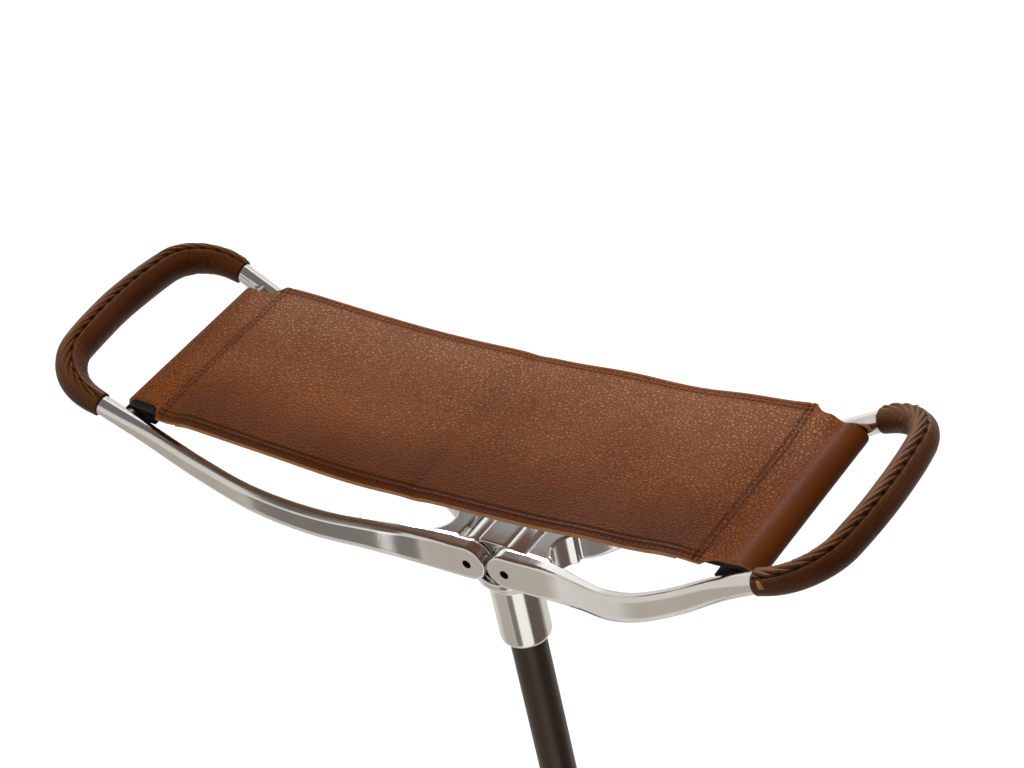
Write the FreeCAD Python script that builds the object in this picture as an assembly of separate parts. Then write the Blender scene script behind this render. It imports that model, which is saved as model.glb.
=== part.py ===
"""Walking stick seat: a stick with two folding loop handles and a leather sling between them.

The frame has its origin on the ground under the stick, +Z up, the seat's length along X and
the front of the seat at -Y. Lengths are millimetres. The seat is open, ready to sit on.
"""
import FreeCAD, Part
import math
import os
from FreeCAD import Vector

os.makedirs("parts", exist_ok=True)

# Stick
PIVOT_HEIGHT = 600.0        # height of the two pivot pins above the ground
TUBE_DIAMETER = 22.2        # seven eighths of an inch
TUBE_WALL = 1.6
SOCKET_DEPTH = 46.0         # length of tube held inside the head
TUBE_SHOULDER = 2.0         # how far the tube runs in above the collar

# Head casting
PIN_SPACING = 26.0          # between the axes of the two pivot pins
PIN_DIAMETER = 5.0
PIN_RECESS = 3.0            # how far a pin end lies below the arm's outer face
HEAD_WIDTH = 25.2           # front to back, between the arms
RIB_WIDTH = 18.0
RIB_HEIGHT = 12.0           # above the pivot axis
RIB_ROUNDING = 2.0
LOBE_RADIUS = 11.3
FLANGE_DIAMETER = 42.0
FLANGE_THICKNESS = 4.5
FLANGE_TAPER = 7.0          # height of the cone from flange to collar
COLLAR_DIAMETER = 31.0
COLLAR_ROUNDING = 3.5
SCREW_DIAMETER = 5.0
SCREW_SOCKET = 2.6
SCREW_HEIGHT = 18.0         # above the collar's lower rim

# Frame castings
ARM_THICKNESS = 10.0        # front to back, at the head
BOSS_RADIUS = 12.0
ARM_END_SHARE = 0.85        # of the bar's radius, so that the arm ends inside the bar
ARM_TOP_BEVEL = 0.10        # shares of the arm's half depth and thickness, at the head
ARM_LOW_BEVEL = 0.28
ARM_SIDE_BEVEL = 0.20
ARM_ROUND_BEVEL = 0.45      # all three, at the handle
ARM_REACH = 216.5           # stick axis to the arm's end, along X
ARM_RISE = 96.4             # pivot axis to the arm's end, along Z
HANDLE_HALF_WIDTH = 69.5    # stick axis to a handle leg, along Y
HANDLE_BAR_DIAMETER = 12.0
HANDLE_DEPTH = 45.0         # arm's end to the middle of the outer bar, in the loop's plane
HANDLE_CORNER = 28.0
HANDLE_BOW = 300.0
HANDLE_TILT = 20.0          # degrees that the loop rises outwards
WEB_INNER_RADIUS = 14.2     # round the pivot axis
WEB_THICKNESS = 7.3
WEB_HOLLOW = 12.5           # radius of the rounded end of the space between the arms
WEB_HALF_HEIGHT = 10.5
CROSSBAR_DIAMETER = 8.0
CROSSBAR_INSET = 15.0       # crossbar to the arm's end, along X
CROSSBAR_DROP = 6.4         # crossbar below the arm's end
CROSSBAR_BITE = 1.0         # past the middle of the arm that holds it

# Handle covers
COVER_END_DIAMETER = 14.6
COVER_MIDDLE_DIAMETER = 17.4
COVER_SWELL = 0.31          # share of the length over which it swells to the full thickness
COVER_START = 1.0           # along the bar, from the arm's end
COVER_LEG_SHARE = 0.6       # place of the section between the start and the corner
COVER_CORNER_STEPS = 5
COVER_BOW_STEPS = 3
LACE_DIAMETER = 3.2
LACE_LIFT = 0.4             # of the seam's middle above the cover's surface
LACE_TILT_LEFT = 6.0        # degrees that the seam leans outwards from the loop's normal
LACE_TILT_RIGHT = 39.0

# Sling
SEAT_SAG = 3.5              # crossbar's axis to the sling's top face, at the middle
SEAT_MARGIN = 3.2           # sling's long edge to the middle of a handle leg
SEAT_CORNER_INSET = 21.5    # crossbar to where the full width ends, along X
LOOP_MARGIN = 11.5          # loop's edge to the middle of a handle leg
LOOP_CHAMFER = 6.0
LEATHER = 2.0
LINING = 1.2
WEBBING = 1.15
WEBBING_PROUD = 2.0         # past the loop's edge
LAP_INSET = 23.5            # crossbar to where the loop's return meets the panel, along X
LAP_LENGTH = 10.0
LINING_GAP = 1.0            # lining's end to the lap's end
THREAD = 0.6
STITCH_INSET = 3.0
STITCH_PITCH = 3.0          # between the two rows of a double seam

# Foot
FERRULE_HEIGHT = 56.0
FERRULE_BASE_DIAMETER = 36.0
FERRULE_TOP_DIAMETER = 26.0
FERRULE_FLOOR = 6.0
FERRULE_RING_DEPTH = 1.2
FERRULE_RING_HEIGHT = 3.4
FERRULE_RINGS = (31.0, 48.0)
FERRULE_WAIST = 17.0        # height where it starts to narrow
FERRULE_CHAMFER = 1.0
WASHER_DIAMETER = 16.0
WASHER_THICKNESS = 2.0
SPIKE_DIAMETER = 10.0
SPIKE_POINT = 22.0          # length of the tapering point
SPIKE_TIP_DIAMETER = 2.0
SPIKE_SHOULDER_DIAMETER = 18.0
SPIKE_SHOULDER_HEIGHT = 4.0
SPIKE_SHANK_DIAMETER = 8.0
SPIKE_BARE = 4.0            # between ferrule and shoulder
DISC_DIAMETER = 62.0
DISC_THICKNESS = 3.5
DISC_CUP_WALL = 3.6
DISC_CUP_FLOOR = 6.0
DISC_CUP_DEPTH = 12.0
PLUG_LENGTH = 30.0
RIVET_DIAMETER = 4.0

# Clearances
RUNNING = 0.05              # radial, pins in their bores
LOOP_RUNNING = 0.1          # radial, sling loop on its crossbar
SIDE_GAP = 0.4              # head to arm, front and back
STOP_GAP = 0.5              # arm's underside to the flange it stops on
SKIN_GAP = 0.05             # between layers of leather, webbing and thread
COVER_GAP = 0.1             # handle bar to its cover
MIDDLE_GAP = 0.3            # each half of the sling to the middle plane

# Worked out
PIN_X = PIN_SPACING / 2
HEAD_HALF = HEAD_WIDTH / 2
ARM_INNER_Y = HEAD_HALF + SIDE_GAP
ARM_MIDDLE_Y = ARM_INNER_Y + ARM_THICKNESS / 2
ARM_OUTER_Y = ARM_INNER_Y + ARM_THICKNESS
BAR_RADIUS = HANDLE_BAR_DIAMETER / 2
CROSSBAR_REACH = ARM_REACH - CROSSBAR_INSET
CROSSBAR_RISE = ARM_RISE - CROSSBAR_DROP
SEAT_RISE = CROSSBAR_RISE - SEAT_SAG
SEAT_HALF_WIDTH = HANDLE_HALF_WIDTH - SEAT_MARGIN
SEAT_CORNER = CROSSBAR_REACH - SEAT_CORNER_INSET
LOOP_HALF_WIDTH = HANDLE_HALF_WIDTH - LOOP_MARGIN
WEBBING_HALF_WIDTH = LOOP_HALF_WIDTH + WEBBING_PROUD
LAP_START = CROSSBAR_REACH - LAP_INSET
FLANGE_TOP = PIVOT_HEIGHT - BOSS_RADIUS - STOP_GAP
FLANGE_BOTTOM = FLANGE_TOP - FLANGE_THICKNESS
COLLAR_TOP = FLANGE_BOTTOM - FLANGE_TAPER
TUBE_TOP = COLLAR_TOP + TUBE_SHOULDER
COLLAR_BOTTOM = TUBE_TOP - SOCKET_DEPTH
TUBE_BORE = TUBE_DIAMETER - 2 * TUBE_WALL
SPIKE_TIP_Z = FERRULE_FLOOR + WASHER_THICKNESS
SHOULDER_BOTTOM = FERRULE_HEIGHT + SPIKE_BARE
DISC_BOTTOM = SHOULDER_BOTTOM + SPIKE_SHOULDER_HEIGHT
TUBE_BOTTOM = DISC_BOTTOM + DISC_CUP_FLOOR
CUP_TOP = TUBE_BOTTOM + DISC_CUP_DEPTH
CUP_DIAMETER = TUBE_DIAMETER + 2 * DISC_CUP_WALL

# Places along an arm, from the pivot to the handle. Each is a share of the arm's reach, of its
# flare from head to handle, of its rise, of the head end's section as against the handle bar's,
# and how slim the arm is drawn in there.
ARM_STATIONS = [
    (0.000, 0.000, 0.000, 1.00, 1.00),
    (0.059, 0.000, 0.000, 1.00, 1.00),
    (0.133, 0.025, 0.012, 0.95, 0.93),
    (0.206, 0.117, 0.055, 0.79, 0.83),
    (0.280, 0.272, 0.127, 0.63, 0.75),
    (0.428, 0.544, 0.256, 0.49, 0.71),
    (0.575, 0.777, 0.437, 0.38, 0.70),
    (0.722, 0.883, 0.629, 0.28, 0.74),
    (0.870, 0.961, 0.846, 0.15, 0.84),
    (1.000, 1.000, 1.000, 0.00, 1.00),
]
ARM_SECTIONS = 26


def cylinder(radius, start, end):
    """A round rod from one point to another."""
    axis = end - start
    return Part.makeCylinder(radius, axis.Length, start, axis)


def rod_z(diameter, low, high):
    return cylinder(diameter / 2, Vector(0, 0, low), Vector(0, 0, high))


def box(low, high):
    size = high - low
    return Part.makeBox(size.x, size.y, size.z, low)


def turned(points):
    """A solid of revolution about the stick's axis, from (radius, height) points."""
    corners = [Vector(r, 0, z) for r, z in points]
    wire = Part.makePolygon(corners + corners[:1])
    return Part.Face(wire).revolve(Vector(0, 0, 0), Vector(0, 0, 1), 360)


def mirrored(shape):
    """The same piece on the other side of the stick."""
    return shape.mirror(Vector(0, 0, 0), Vector(1, 0, 0))


def pivot_rod(diameter, half_length):
    """A rod on the right pivot axis."""
    start = Vector(PIN_X, -half_length, PIVOT_HEIGHT)
    end = Vector(PIN_X, half_length, PIVOT_HEIGHT)
    return cylinder(diameter / 2, start, end)


def head():
    """The head casting: rib and lobes between the arms, stop flange, and socket for the tube."""
    rib = box(Vector(-RIB_WIDTH / 2, -HEAD_HALF, FLANGE_BOTTOM),
              Vector(RIB_WIDTH / 2, HEAD_HALF, PIVOT_HEIGHT + RIB_HEIGHT))
    upright = [e for e in rib.Edges if abs(e.tangentAt(e.FirstParameter).z) > 0.9]
    rib = rib.makeFillet(RIB_ROUNDING, upright)
    lobe = pivot_rod(2 * LOBE_RADIUS, HEAD_HALF)
    cheek = box(Vector(0, -HEAD_HALF, FLANGE_TOP),
                Vector(PIN_X, HEAD_HALF, PIVOT_HEIGHT))
    flange = turned([(0, COLLAR_TOP), (COLLAR_DIAMETER / 2, COLLAR_TOP),
                     (FLANGE_DIAMETER / 2, FLANGE_BOTTOM), (FLANGE_DIAMETER / 2, FLANGE_TOP),
                     (0, FLANGE_TOP)])
    collar = rod_z(COLLAR_DIAMETER, COLLAR_BOTTOM, COLLAR_TOP)
    rim = [e for e in collar.Edges if abs(e.CenterOfMass.z - COLLAR_BOTTOM) < 0.01]
    collar = collar.makeFillet(COLLAR_ROUNDING, rim)
    body = rib.multiFuse([lobe, mirrored(lobe), cheek, mirrored(cheek), flange, collar])
    bore = pivot_rod(PIN_DIAMETER, HEAD_HALF)
    socket = rod_z(TUBE_DIAMETER, COLLAR_BOTTOM, TUBE_TOP)
    screw_hole = screw_blank(SCREW_DIAMETER)
    return body.cut([bore, mirrored(bore), socket, screw_hole]).removeSplitter()


def screw_blank(diameter):
    """The space of the grub screw in the back of the collar."""
    height = COLLAR_BOTTOM + SCREW_HEIGHT
    start = Vector(0, TUBE_DIAMETER / 2 - TUBE_WALL, height)
    end = Vector(0, COLLAR_DIAMETER / 2, height)
    return cylinder(diameter / 2, start, end)


def socket_screw():
    """Grub screw that holds the tube in the head."""
    blank = screw_blank(SCREW_DIAMETER)
    outside = rod_z(COLLAR_DIAMETER, COLLAR_BOTTOM, COLLAR_TOP)
    corner = SCREW_SOCKET / 2 / math.cos(math.pi / 6)
    centre = Vector(0, COLLAR_DIAMETER / 2, COLLAR_BOTTOM + SCREW_HEIGHT)
    turns = [k * math.pi / 3 for k in range(6)]
    hexagon = [centre + Vector(math.cos(t), 0, math.sin(t)) * corner for t in turns]
    face = Part.Face(Part.makePolygon(hexagon + hexagon[:1]))
    key = face.extrude(Vector(0, -SCREW_SOCKET, 0))
    return blank.common(outside).cut(key)


def pivot_pin():
    return pivot_rod(PIN_DIAMETER, ARM_OUTER_Y - PIN_RECESS)


def shaft_tube():
    tube = rod_z(TUBE_DIAMETER, TUBE_BOTTOM, TUBE_TOP)
    bore = rod_z(TUBE_BORE, TUBE_BOTTOM, TUBE_TOP)
    return tube.cut([bore, screw_blank(SCREW_DIAMETER), rivet_rod()])


def station_slope(k):
    """How fast each share changes along the arm at one station."""
    before = ARM_STATIONS[max(k - 1, 0)]
    after = ARM_STATIONS[min(k + 1, len(ARM_STATIONS) - 1)]
    step = after[0] - before[0]
    return [(b - a) / step for a, b in zip(before, after)]


def station_at(along):
    """The five shares at any place along the arm, on a smooth curve through the stations."""
    k = 0
    while k < len(ARM_STATIONS) - 2 and along > ARM_STATIONS[k + 1][0]:
        k += 1
    here, there = ARM_STATIONS[k], ARM_STATIONS[k + 1]
    span = there[0] - here[0]
    t = (along - here[0]) / span
    weights = (2 * t ** 3 - 3 * t ** 2 + 1, t ** 3 - 2 * t ** 2 + t,
               3 * t ** 2 - 2 * t ** 3, t ** 3 - t ** 2)
    leave, arrive = station_slope(k), station_slope(k + 1)
    return [weights[0] * here[i] + weights[1] * span * leave[i]
            + weights[2] * there[i] + weights[3] * span * arrive[i] for i in range(5)]


def arm_place(along):
    """Centre, half depth, half thickness and head share at one place on the right back arm."""
    along, flare, rise, hub_part, slim = station_at(along)
    centre = Vector(PIN_X + along * (ARM_REACH - PIN_X),
                    ARM_MIDDLE_Y + flare * (HANDLE_HALF_WIDTH - ARM_MIDDLE_Y),
                    PIVOT_HEIGHT + rise * ARM_RISE)
    bar_end = ARM_END_SHARE * BAR_RADIUS
    depth = hub_part * BOSS_RADIUS + (1 - hub_part) * bar_end
    thickness = slim * (hub_part * ARM_THICKNESS / 2 + (1 - hub_part) * bar_end)
    return centre, depth, thickness, hub_part


def arm_section(centre, along, depth, thickness, hub_part):
    """Eight-sided section square to the arm: a flat outer face with a wider bevel below."""
    across = Vector(0, 0, 1).cross(along).normalize()
    up = along.cross(across).normalize()
    round_part = (1 - hub_part) * ARM_ROUND_BEVEL
    top = hub_part * ARM_TOP_BEVEL + round_part
    low = hub_part * ARM_LOW_BEVEL + round_part
    side = hub_part * ARM_SIDE_BEVEL + round_part
    outline = [(1, 1 - top), (1 - side, 1), (side - 1, 1), (-1, 1 - top),
               (-1, top - 1), (side - 1, -1), (1 - side, -1), (1, low - 1)]
    corners = [centre + across * (w * thickness) + up * (h * depth) for w, h in outline]
    return Part.makePolygon(corners + corners[:1])


def arm():
    """The back arm of the right frame."""
    places = [arm_place(k / (ARM_SECTIONS - 1)) for k in range(ARM_SECTIONS)]
    sections = []
    for k, (centre, depth, thickness, hub_part) in enumerate(places):
        before = places[max(k - 1, 0)][0]
        after = places[min(k + 1, ARM_SECTIONS - 1)][0]
        along = (after - before).normalize()
        if k < 2:
            along = Vector(1, 0, 0)
        if k == ARM_SECTIONS - 1:
            along = handle_direction()
        sections.append(arm_section(centre, along, depth, thickness, hub_part))
    return Part.makeLoft(sections, True, False)


def handle_direction():
    tilt = math.radians(HANDLE_TILT)
    return Vector(math.cos(tilt), 0, math.sin(tilt))


def handle_normal():
    tilt = math.radians(HANDLE_TILT)
    return Vector(-math.sin(tilt), 0, math.cos(tilt))


def handle_place(out, side):
    """A point of the right loop's plane, out from the arm's end and sideways."""
    end = Vector(ARM_REACH, 0, PIVOT_HEIGHT + ARM_RISE)
    return end + handle_direction() * out + Vector(0, side, 0)


def handle_shape():
    """Where the loop's corner arcs are centred, and where they meet the bowed bar."""
    bow_centre = HANDLE_DEPTH - HANDLE_BOW
    corner_side = HANDLE_HALF_WIDTH - HANDLE_CORNER
    reach = math.sqrt((HANDLE_BOW - HANDLE_CORNER) ** 2 - corner_side ** 2)
    corner_out = bow_centre + reach
    turn = math.atan2(corner_side, reach)
    return bow_centre, corner_out, corner_side, turn


def handle_bar(radius):
    """A round bar along the right handle loop: legs, corners and bow."""
    bow_centre, corner_out, corner_side, turn = handle_shape()
    inside = -BAR_RADIUS

    def corner(angle, side):
        return handle_place(corner_out + HANDLE_CORNER * math.cos(angle),
                            side * (corner_side + HANDLE_CORNER * math.sin(angle)))

    middle = (math.pi / 2 + turn) / 2
    near = [handle_place(inside, -HANDLE_HALF_WIDTH), corner(math.pi / 2, -1),
            corner(middle, -1), corner(turn, -1)]
    far = [corner(turn, 1), corner(middle, 1), corner(math.pi / 2, 1),
           handle_place(inside, HANDLE_HALF_WIDTH)]
    edges = [Part.makeLine(near[0], near[1]),
             Part.Arc(near[1], near[2], near[3]).toShape(),
             Part.Arc(near[3], handle_place(HANDLE_DEPTH, 0), far[0]).toShape(),
             Part.Arc(far[0], far[1], far[2]).toShape(),
             Part.makeLine(far[2], far[3])]
    path = Part.Wire(edges)
    circle = Part.Wire(Part.makeCircle(radius, near[0], handle_direction()))
    return path.makePipeShell([circle], True, True)


def handle_frames():
    """Places along the cover: point, direction along the bar, outward direction, share."""
    bow_centre, corner_out, corner_side, turn = handle_shape()
    square = math.pi / 2
    half = [(handle_place(COVER_START, -HANDLE_HALF_WIDTH), square)]
    half.append((handle_place(corner_out * COVER_LEG_SHARE, -HANDLE_HALF_WIDTH), square))
    for k in range(COVER_CORNER_STEPS):
        angle = square + (turn - square) * k / COVER_CORNER_STEPS
        place = handle_place(corner_out + HANDLE_CORNER * math.cos(angle),
                             -corner_side - HANDLE_CORNER * math.sin(angle))
        half.append((place, angle))
    for k in range(COVER_BOW_STEPS):
        angle = turn * (1 - k / COVER_BOW_STEPS)
        place = handle_place(bow_centre + HANDLE_BOW * math.cos(angle),
                             -HANDLE_BOW * math.sin(angle))
        half.append((place, angle))
    whole = half + [(handle_place(HANDLE_DEPTH, 0), 0.0)]
    for place, angle in reversed(half):
        whole.append((Vector(place.x, -place.y, place.z), -angle))
    frames = []
    for k, (place, angle) in enumerate(whole):
        outward = handle_direction() * math.cos(angle) + Vector(0, -1, 0) * math.sin(angle)
        along = handle_direction() * math.sin(angle) + Vector(0, 1, 0) * math.cos(angle)
        frames.append((place, along, outward, k / (len(whole) - 1)))
    return frames


def cover_radius(share):
    """The cover swells from its ends to a steady thickness over the corners."""
    swell = min(1.0, share / COVER_SWELL, (1 - share) / COVER_SWELL)
    eased = swell * swell * (3 - 2 * swell)
    ends = COVER_END_DIAMETER / 2
    return ends + (COVER_MIDDLE_DIAMETER / 2 - ends) * eased


def ring(radius, centre, along, outward):
    """A circle square to the bar, with its seam always on the loop's outer side."""
    circle = Part.makeCircle(radius)
    turn = FreeCAD.Rotation(outward, handle_normal(), along, "ZXY")
    circle.Placement = FreeCAD.Placement(centre, turn)
    return Part.Wire(circle)


def cover_blank(extra):
    """The cover's outer shape, grown by a little where a neighbour is cut to it."""
    rings = [ring(cover_radius(share) + extra, place, along, outward)
             for place, along, outward, share in handle_frames()]
    return Part.makeLoft(rings, True, False)


def handle_cover():
    return cover_blank(0).cut(handle_bar(BAR_RADIUS + COVER_GAP))


def handle_lace(tilt):
    """Raised stitched seam along the cover, leaning outwards by the tilt."""
    lean = math.radians(tilt)
    rings = []
    for place, along, outward, share in handle_frames():
        side = handle_normal() * math.cos(lean) + outward * math.sin(lean)
        centre = place + side * (cover_radius(share) + LACE_LIFT)
        rings.append(ring(LACE_DIAMETER / 2, centre, along, outward))
    return Part.makeLoft(rings, True, False).cut(cover_blank(SKIN_GAP))


def web():
    """Cross web that joins a frame's two arms beside the head."""
    web_end = PIN_X + WEB_INNER_RADIUS + WEB_THICKNESS
    flank_end = web_end + WEB_HOLLOW / 2
    block = box(Vector(PIN_X, -ARM_MIDDLE_Y, PIVOT_HEIGHT - WEB_HALF_HEIGHT),
                Vector(flank_end, ARM_MIDDLE_Y, PIVOT_HEIGHT + WEB_HALF_HEIGHT))
    hollow_x = web_end + WEB_HOLLOW
    hollow = cylinder(WEB_HOLLOW, Vector(hollow_x, 0, PIVOT_HEIGHT - BOSS_RADIUS),
                      Vector(hollow_x, 0, PIVOT_HEIGHT + BOSS_RADIUS))
    swing = pivot_rod(2 * WEB_INNER_RADIUS, ARM_INNER_Y)
    return block.cut([hollow, swing])


def frame_casting():
    """One frame: two bosses, two arms, the web and the handle bar in one casting."""
    back_arm = arm()
    front_arm = back_arm.mirror(Vector(0, 0, 0), Vector(0, 1, 0))
    boss = cylinder(BOSS_RADIUS, Vector(PIN_X, ARM_INNER_Y, PIVOT_HEIGHT),
                    Vector(PIN_X, ARM_OUTER_Y, PIVOT_HEIGHT))
    front_boss = boss.mirror(Vector(0, 0, 0), Vector(0, 1, 0))
    body = back_arm.multiFuse([front_arm, boss, front_boss, web(),
                               handle_bar(BAR_RADIUS)])
    bore = pivot_rod(PIN_DIAMETER + 2 * RUNNING, 2 * ARM_OUTER_Y)
    return body.cut([bore, crossbar()])


def crossbar():
    """Steel rod whose ends are cast into the two arms."""
    half = HANDLE_HALF_WIDTH + CROSSBAR_BITE
    start = Vector(CROSSBAR_REACH, -half, PIVOT_HEIGHT + CROSSBAR_RISE)
    end = Vector(CROSSBAR_REACH, half, PIVOT_HEIGHT + CROSSBAR_RISE)
    return cylinder(CROSSBAR_DIAMETER / 2, start, end)


class SlingCurve:
    """The sling seen from the front: a sagging arc that meets the loop round the crossbar."""

    def __init__(self):
        self.bar = Vector(CROSSBAR_REACH, 0, PIVOT_HEIGHT + CROSSBAR_RISE)
        self.loop = CROSSBAR_DIAMETER / 2 + LOOP_RUNNING + WEBBING + SKIN_GAP + LEATHER
        drop = SEAT_RISE - CROSSBAR_RISE
        self.radius = ((CROSSBAR_REACH ** 2 + drop ** 2 - self.loop ** 2)
                       / (2 * (self.loop - drop)))
        self.centre = Vector(0, 0, PIVOT_HEIGHT + SEAT_RISE + self.radius)
        self.meet = math.asin(CROSSBAR_REACH / (self.radius + self.loop))

    def on_arc(self, depth, angle):
        """A point below the sling's top face, at an angle from the middle."""
        r = self.radius + depth
        return self.centre + Vector(r * math.sin(angle), 0, -r * math.cos(angle))

    def angle_at(self, x):
        return math.asin(x / self.radius)

    def on_loop(self, depth, turn):
        """A point of the loop; turn 0 is where it leaves the arc, and grows outwards and down."""
        r = self.loop - depth
        angle = turn - self.meet
        return self.bar + Vector(r * math.sin(angle), 0, r * math.cos(angle))

    def leaving(self, depth, end):
        """How far round the loop the straight return to a given point begins."""
        r = self.loop - depth
        back = end - self.bar
        spread = math.acos(r / back.Length)
        return 2 * math.pi + math.atan2(back.x, back.z) - spread + self.meet

    def strip(self, top, bottom, start, finish, half_width):
        """A layer of the panel between two depths and two angles."""
        middle = (start + finish) / 2
        edges = [Part.Arc(self.on_arc(top, start), self.on_arc(top, middle),
                          self.on_arc(top, finish)).toShape(),
                 Part.makeLine(self.on_arc(top, finish), self.on_arc(bottom, finish)),
                 Part.Arc(self.on_arc(bottom, finish), self.on_arc(bottom, middle),
                          self.on_arc(bottom, start)).toShape(),
                 Part.makeLine(self.on_arc(bottom, start), self.on_arc(top, start))]
        return widened(edges, half_width)

    def wrap(self, outer, inner, lap_inner, lap_outer, half_width):
        """The loop round the crossbar and its return, lapped under the panel."""
        lap = self.angle_at(LAP_START)
        lap_end = self.angle_at(LAP_START - LAP_LENGTH)
        lap_middle = (lap + lap_end) / 2
        outer_turn = self.leaving(outer, self.on_arc(lap_outer, lap))
        inner_turn = self.leaving(inner, self.on_arc(lap_inner, lap))
        edges = [Part.Arc(self.on_loop(outer, 0), self.on_loop(outer, outer_turn / 2),
                          self.on_loop(outer, outer_turn)).toShape(),
                 Part.makeLine(self.on_loop(outer, outer_turn), self.on_arc(lap_outer, lap)),
                 Part.Arc(self.on_arc(lap_outer, lap), self.on_arc(lap_outer, lap_middle),
                          self.on_arc(lap_outer, lap_end)).toShape(),
                 Part.makeLine(self.on_arc(lap_outer, lap_end), self.on_arc(lap_inner, lap_end)),
                 Part.Arc(self.on_arc(lap_inner, lap_end), self.on_arc(lap_inner, lap_middle),
                          self.on_arc(lap_inner, lap)).toShape(),
                 Part.makeLine(self.on_arc(lap_inner, lap), self.on_loop(inner, inner_turn)),
                 Part.Arc(self.on_loop(inner, inner_turn), self.on_loop(inner, inner_turn / 2),
                          self.on_loop(inner, 0)).toShape(),
                 Part.makeLine(self.on_loop(inner, 0), self.on_loop(outer, 0))]
        return widened(edges, half_width)


def widened(edges, half_width):
    """A solid of the given half width, front to back, from an outline seen from the front."""
    face = Part.Face(Part.Wire(edges))
    face.translate(Vector(0, -half_width, 0))
    return face.extrude(Vector(0, 2 * half_width, 0))


def panel_plan():
    """The sling's outline from above: full width, then cut in to the narrower loop."""
    low = PIVOT_HEIGHT
    far = CROSSBAR_REACH + CROSSBAR_DIAMETER
    neck = SEAT_CORNER + LOOP_CHAMFER
    side = [(0, SEAT_HALF_WIDTH), (SEAT_CORNER, SEAT_HALF_WIDTH), (neck, LOOP_HALF_WIDTH),
            (far, LOOP_HALF_WIDTH)]
    outline = side + [(x, -y) for x, y in reversed(side)]
    corners = [Vector(x, y, low) for x, y in outline]
    return Part.Face(Part.makePolygon(corners + corners[:1])).extrude(Vector(0, 0, 2 * ARM_RISE))


LAYERS = SlingCurve()
LINING_TOP = LEATHER + SKIN_GAP
WEBBING_TOP = LEATHER + SKIN_GAP
WEBBING_BOTTOM = WEBBING_TOP + WEBBING
RETURN_WEBBING_TOP = WEBBING_BOTTOM + SKIN_GAP
RETURN_WEBBING_BOTTOM = RETURN_WEBBING_TOP + WEBBING
RETURN_TOP = RETURN_WEBBING_BOTTOM + SKIN_GAP
RETURN_BOTTOM = RETURN_TOP + LEATHER


def sling_leather():
    """Top hide of the right half, with the loop round the crossbar."""
    start = LAYERS.angle_at(MIDDLE_GAP)
    panel = LAYERS.strip(0, LEATHER, start, LAYERS.meet, SEAT_HALF_WIDTH).common(panel_plan())
    loop = LAYERS.wrap(0, LEATHER, RETURN_TOP, RETURN_BOTTOM, LOOP_HALF_WIDTH)
    return panel.fuse(loop)


def sling_lining():
    """Second layer of hide under the panel."""
    start = LAYERS.angle_at(MIDDLE_GAP)
    finish = LAYERS.angle_at(LAP_START - LAP_LENGTH - LINING_GAP)
    return LAYERS.strip(LINING_TOP, LINING_TOP + LINING, start, finish, SEAT_HALF_WIDTH)


def sling_webbing():
    """Webbing that goes round the crossbar inside the loop."""
    start = LAYERS.angle_at(LAP_START - LAP_LENGTH)
    leg = LAYERS.strip(WEBBING_TOP, WEBBING_BOTTOM, start, LAYERS.meet, WEBBING_HALF_WIDTH)
    loop = LAYERS.wrap(WEBBING_TOP, WEBBING_BOTTOM, RETURN_WEBBING_TOP,
                       RETURN_WEBBING_BOTTOM, WEBBING_HALF_WIDTH)
    return leg.fuse(loop)


def sling_stitching():
    """Double seams: two rows along each long edge and two across the loop's end."""
    rows = []
    first = SEAT_HALF_WIDTH - STITCH_INSET
    start = LAYERS.angle_at(MIDDLE_GAP)
    finish = LAYERS.angle_at(SEAT_CORNER - STITCH_INSET)
    for inset in (0, STITCH_PITCH):
        row = LAYERS.strip(-SKIN_GAP - THREAD, -SKIN_GAP, start, finish, THREAD / 2)
        rows.append(row.translated(Vector(0, first - inset, 0)))
        rows.append(row.translated(Vector(0, inset - first, 0)))
    for inset in (0, STITCH_PITCH):
        place = SEAT_CORNER - inset + THREAD
        rows.append(LAYERS.strip(-SKIN_GAP - THREAD, -SKIN_GAP, LAYERS.angle_at(place),
                                 LAYERS.angle_at(place + THREAD), LOOP_HALF_WIDTH))
    return Part.makeCompound(rows)


def rivet_rod():
    height = TUBE_BOTTOM + DISC_CUP_DEPTH / 2
    half = CUP_DIAMETER / 2
    return cylinder(RIVET_DIAMETER / 2, Vector(-half, 0, height), Vector(half, 0, height))


def foot_rivet():
    """Rivet through cup, tube and plug."""
    return rivet_rod().common(rod_z(CUP_DIAMETER, TUBE_BOTTOM, CUP_TOP))


def tip_plug():
    """Plug in the tube's lower end that takes the spike's shank."""
    plug = rod_z(TUBE_BORE, TUBE_BOTTOM, TUBE_BOTTOM + PLUG_LENGTH)
    return plug.cut([rod_z(SPIKE_SHANK_DIAMETER, TUBE_BOTTOM, shank_top()), rivet_rod()])


def shank_top():
    """The shank ends below the rivet."""
    return TUBE_BOTTOM + DISC_CUP_DEPTH / 2 - RIVET_DIAMETER / 2 - RUNNING


def ground_disc():
    """Round plate that stops the spike sinking in, with a cup for the tube."""
    plate = rod_z(DISC_DIAMETER, DISC_BOTTOM, DISC_BOTTOM + DISC_THICKNESS)
    rims = [e for e in plate.Edges if e.Length > 3 * DISC_DIAMETER]
    plate = plate.makeFillet(DISC_THICKNESS / 3, rims)
    cup = rod_z(CUP_DIAMETER, DISC_BOTTOM, CUP_TOP)
    bore = rod_z(TUBE_DIAMETER, TUBE_BOTTOM, CUP_TOP)
    hole = rod_z(SPIKE_SHANK_DIAMETER, DISC_BOTTOM, TUBE_BOTTOM)
    return plate.fuse(cup).cut([bore, hole, rivet_rod()])


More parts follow.
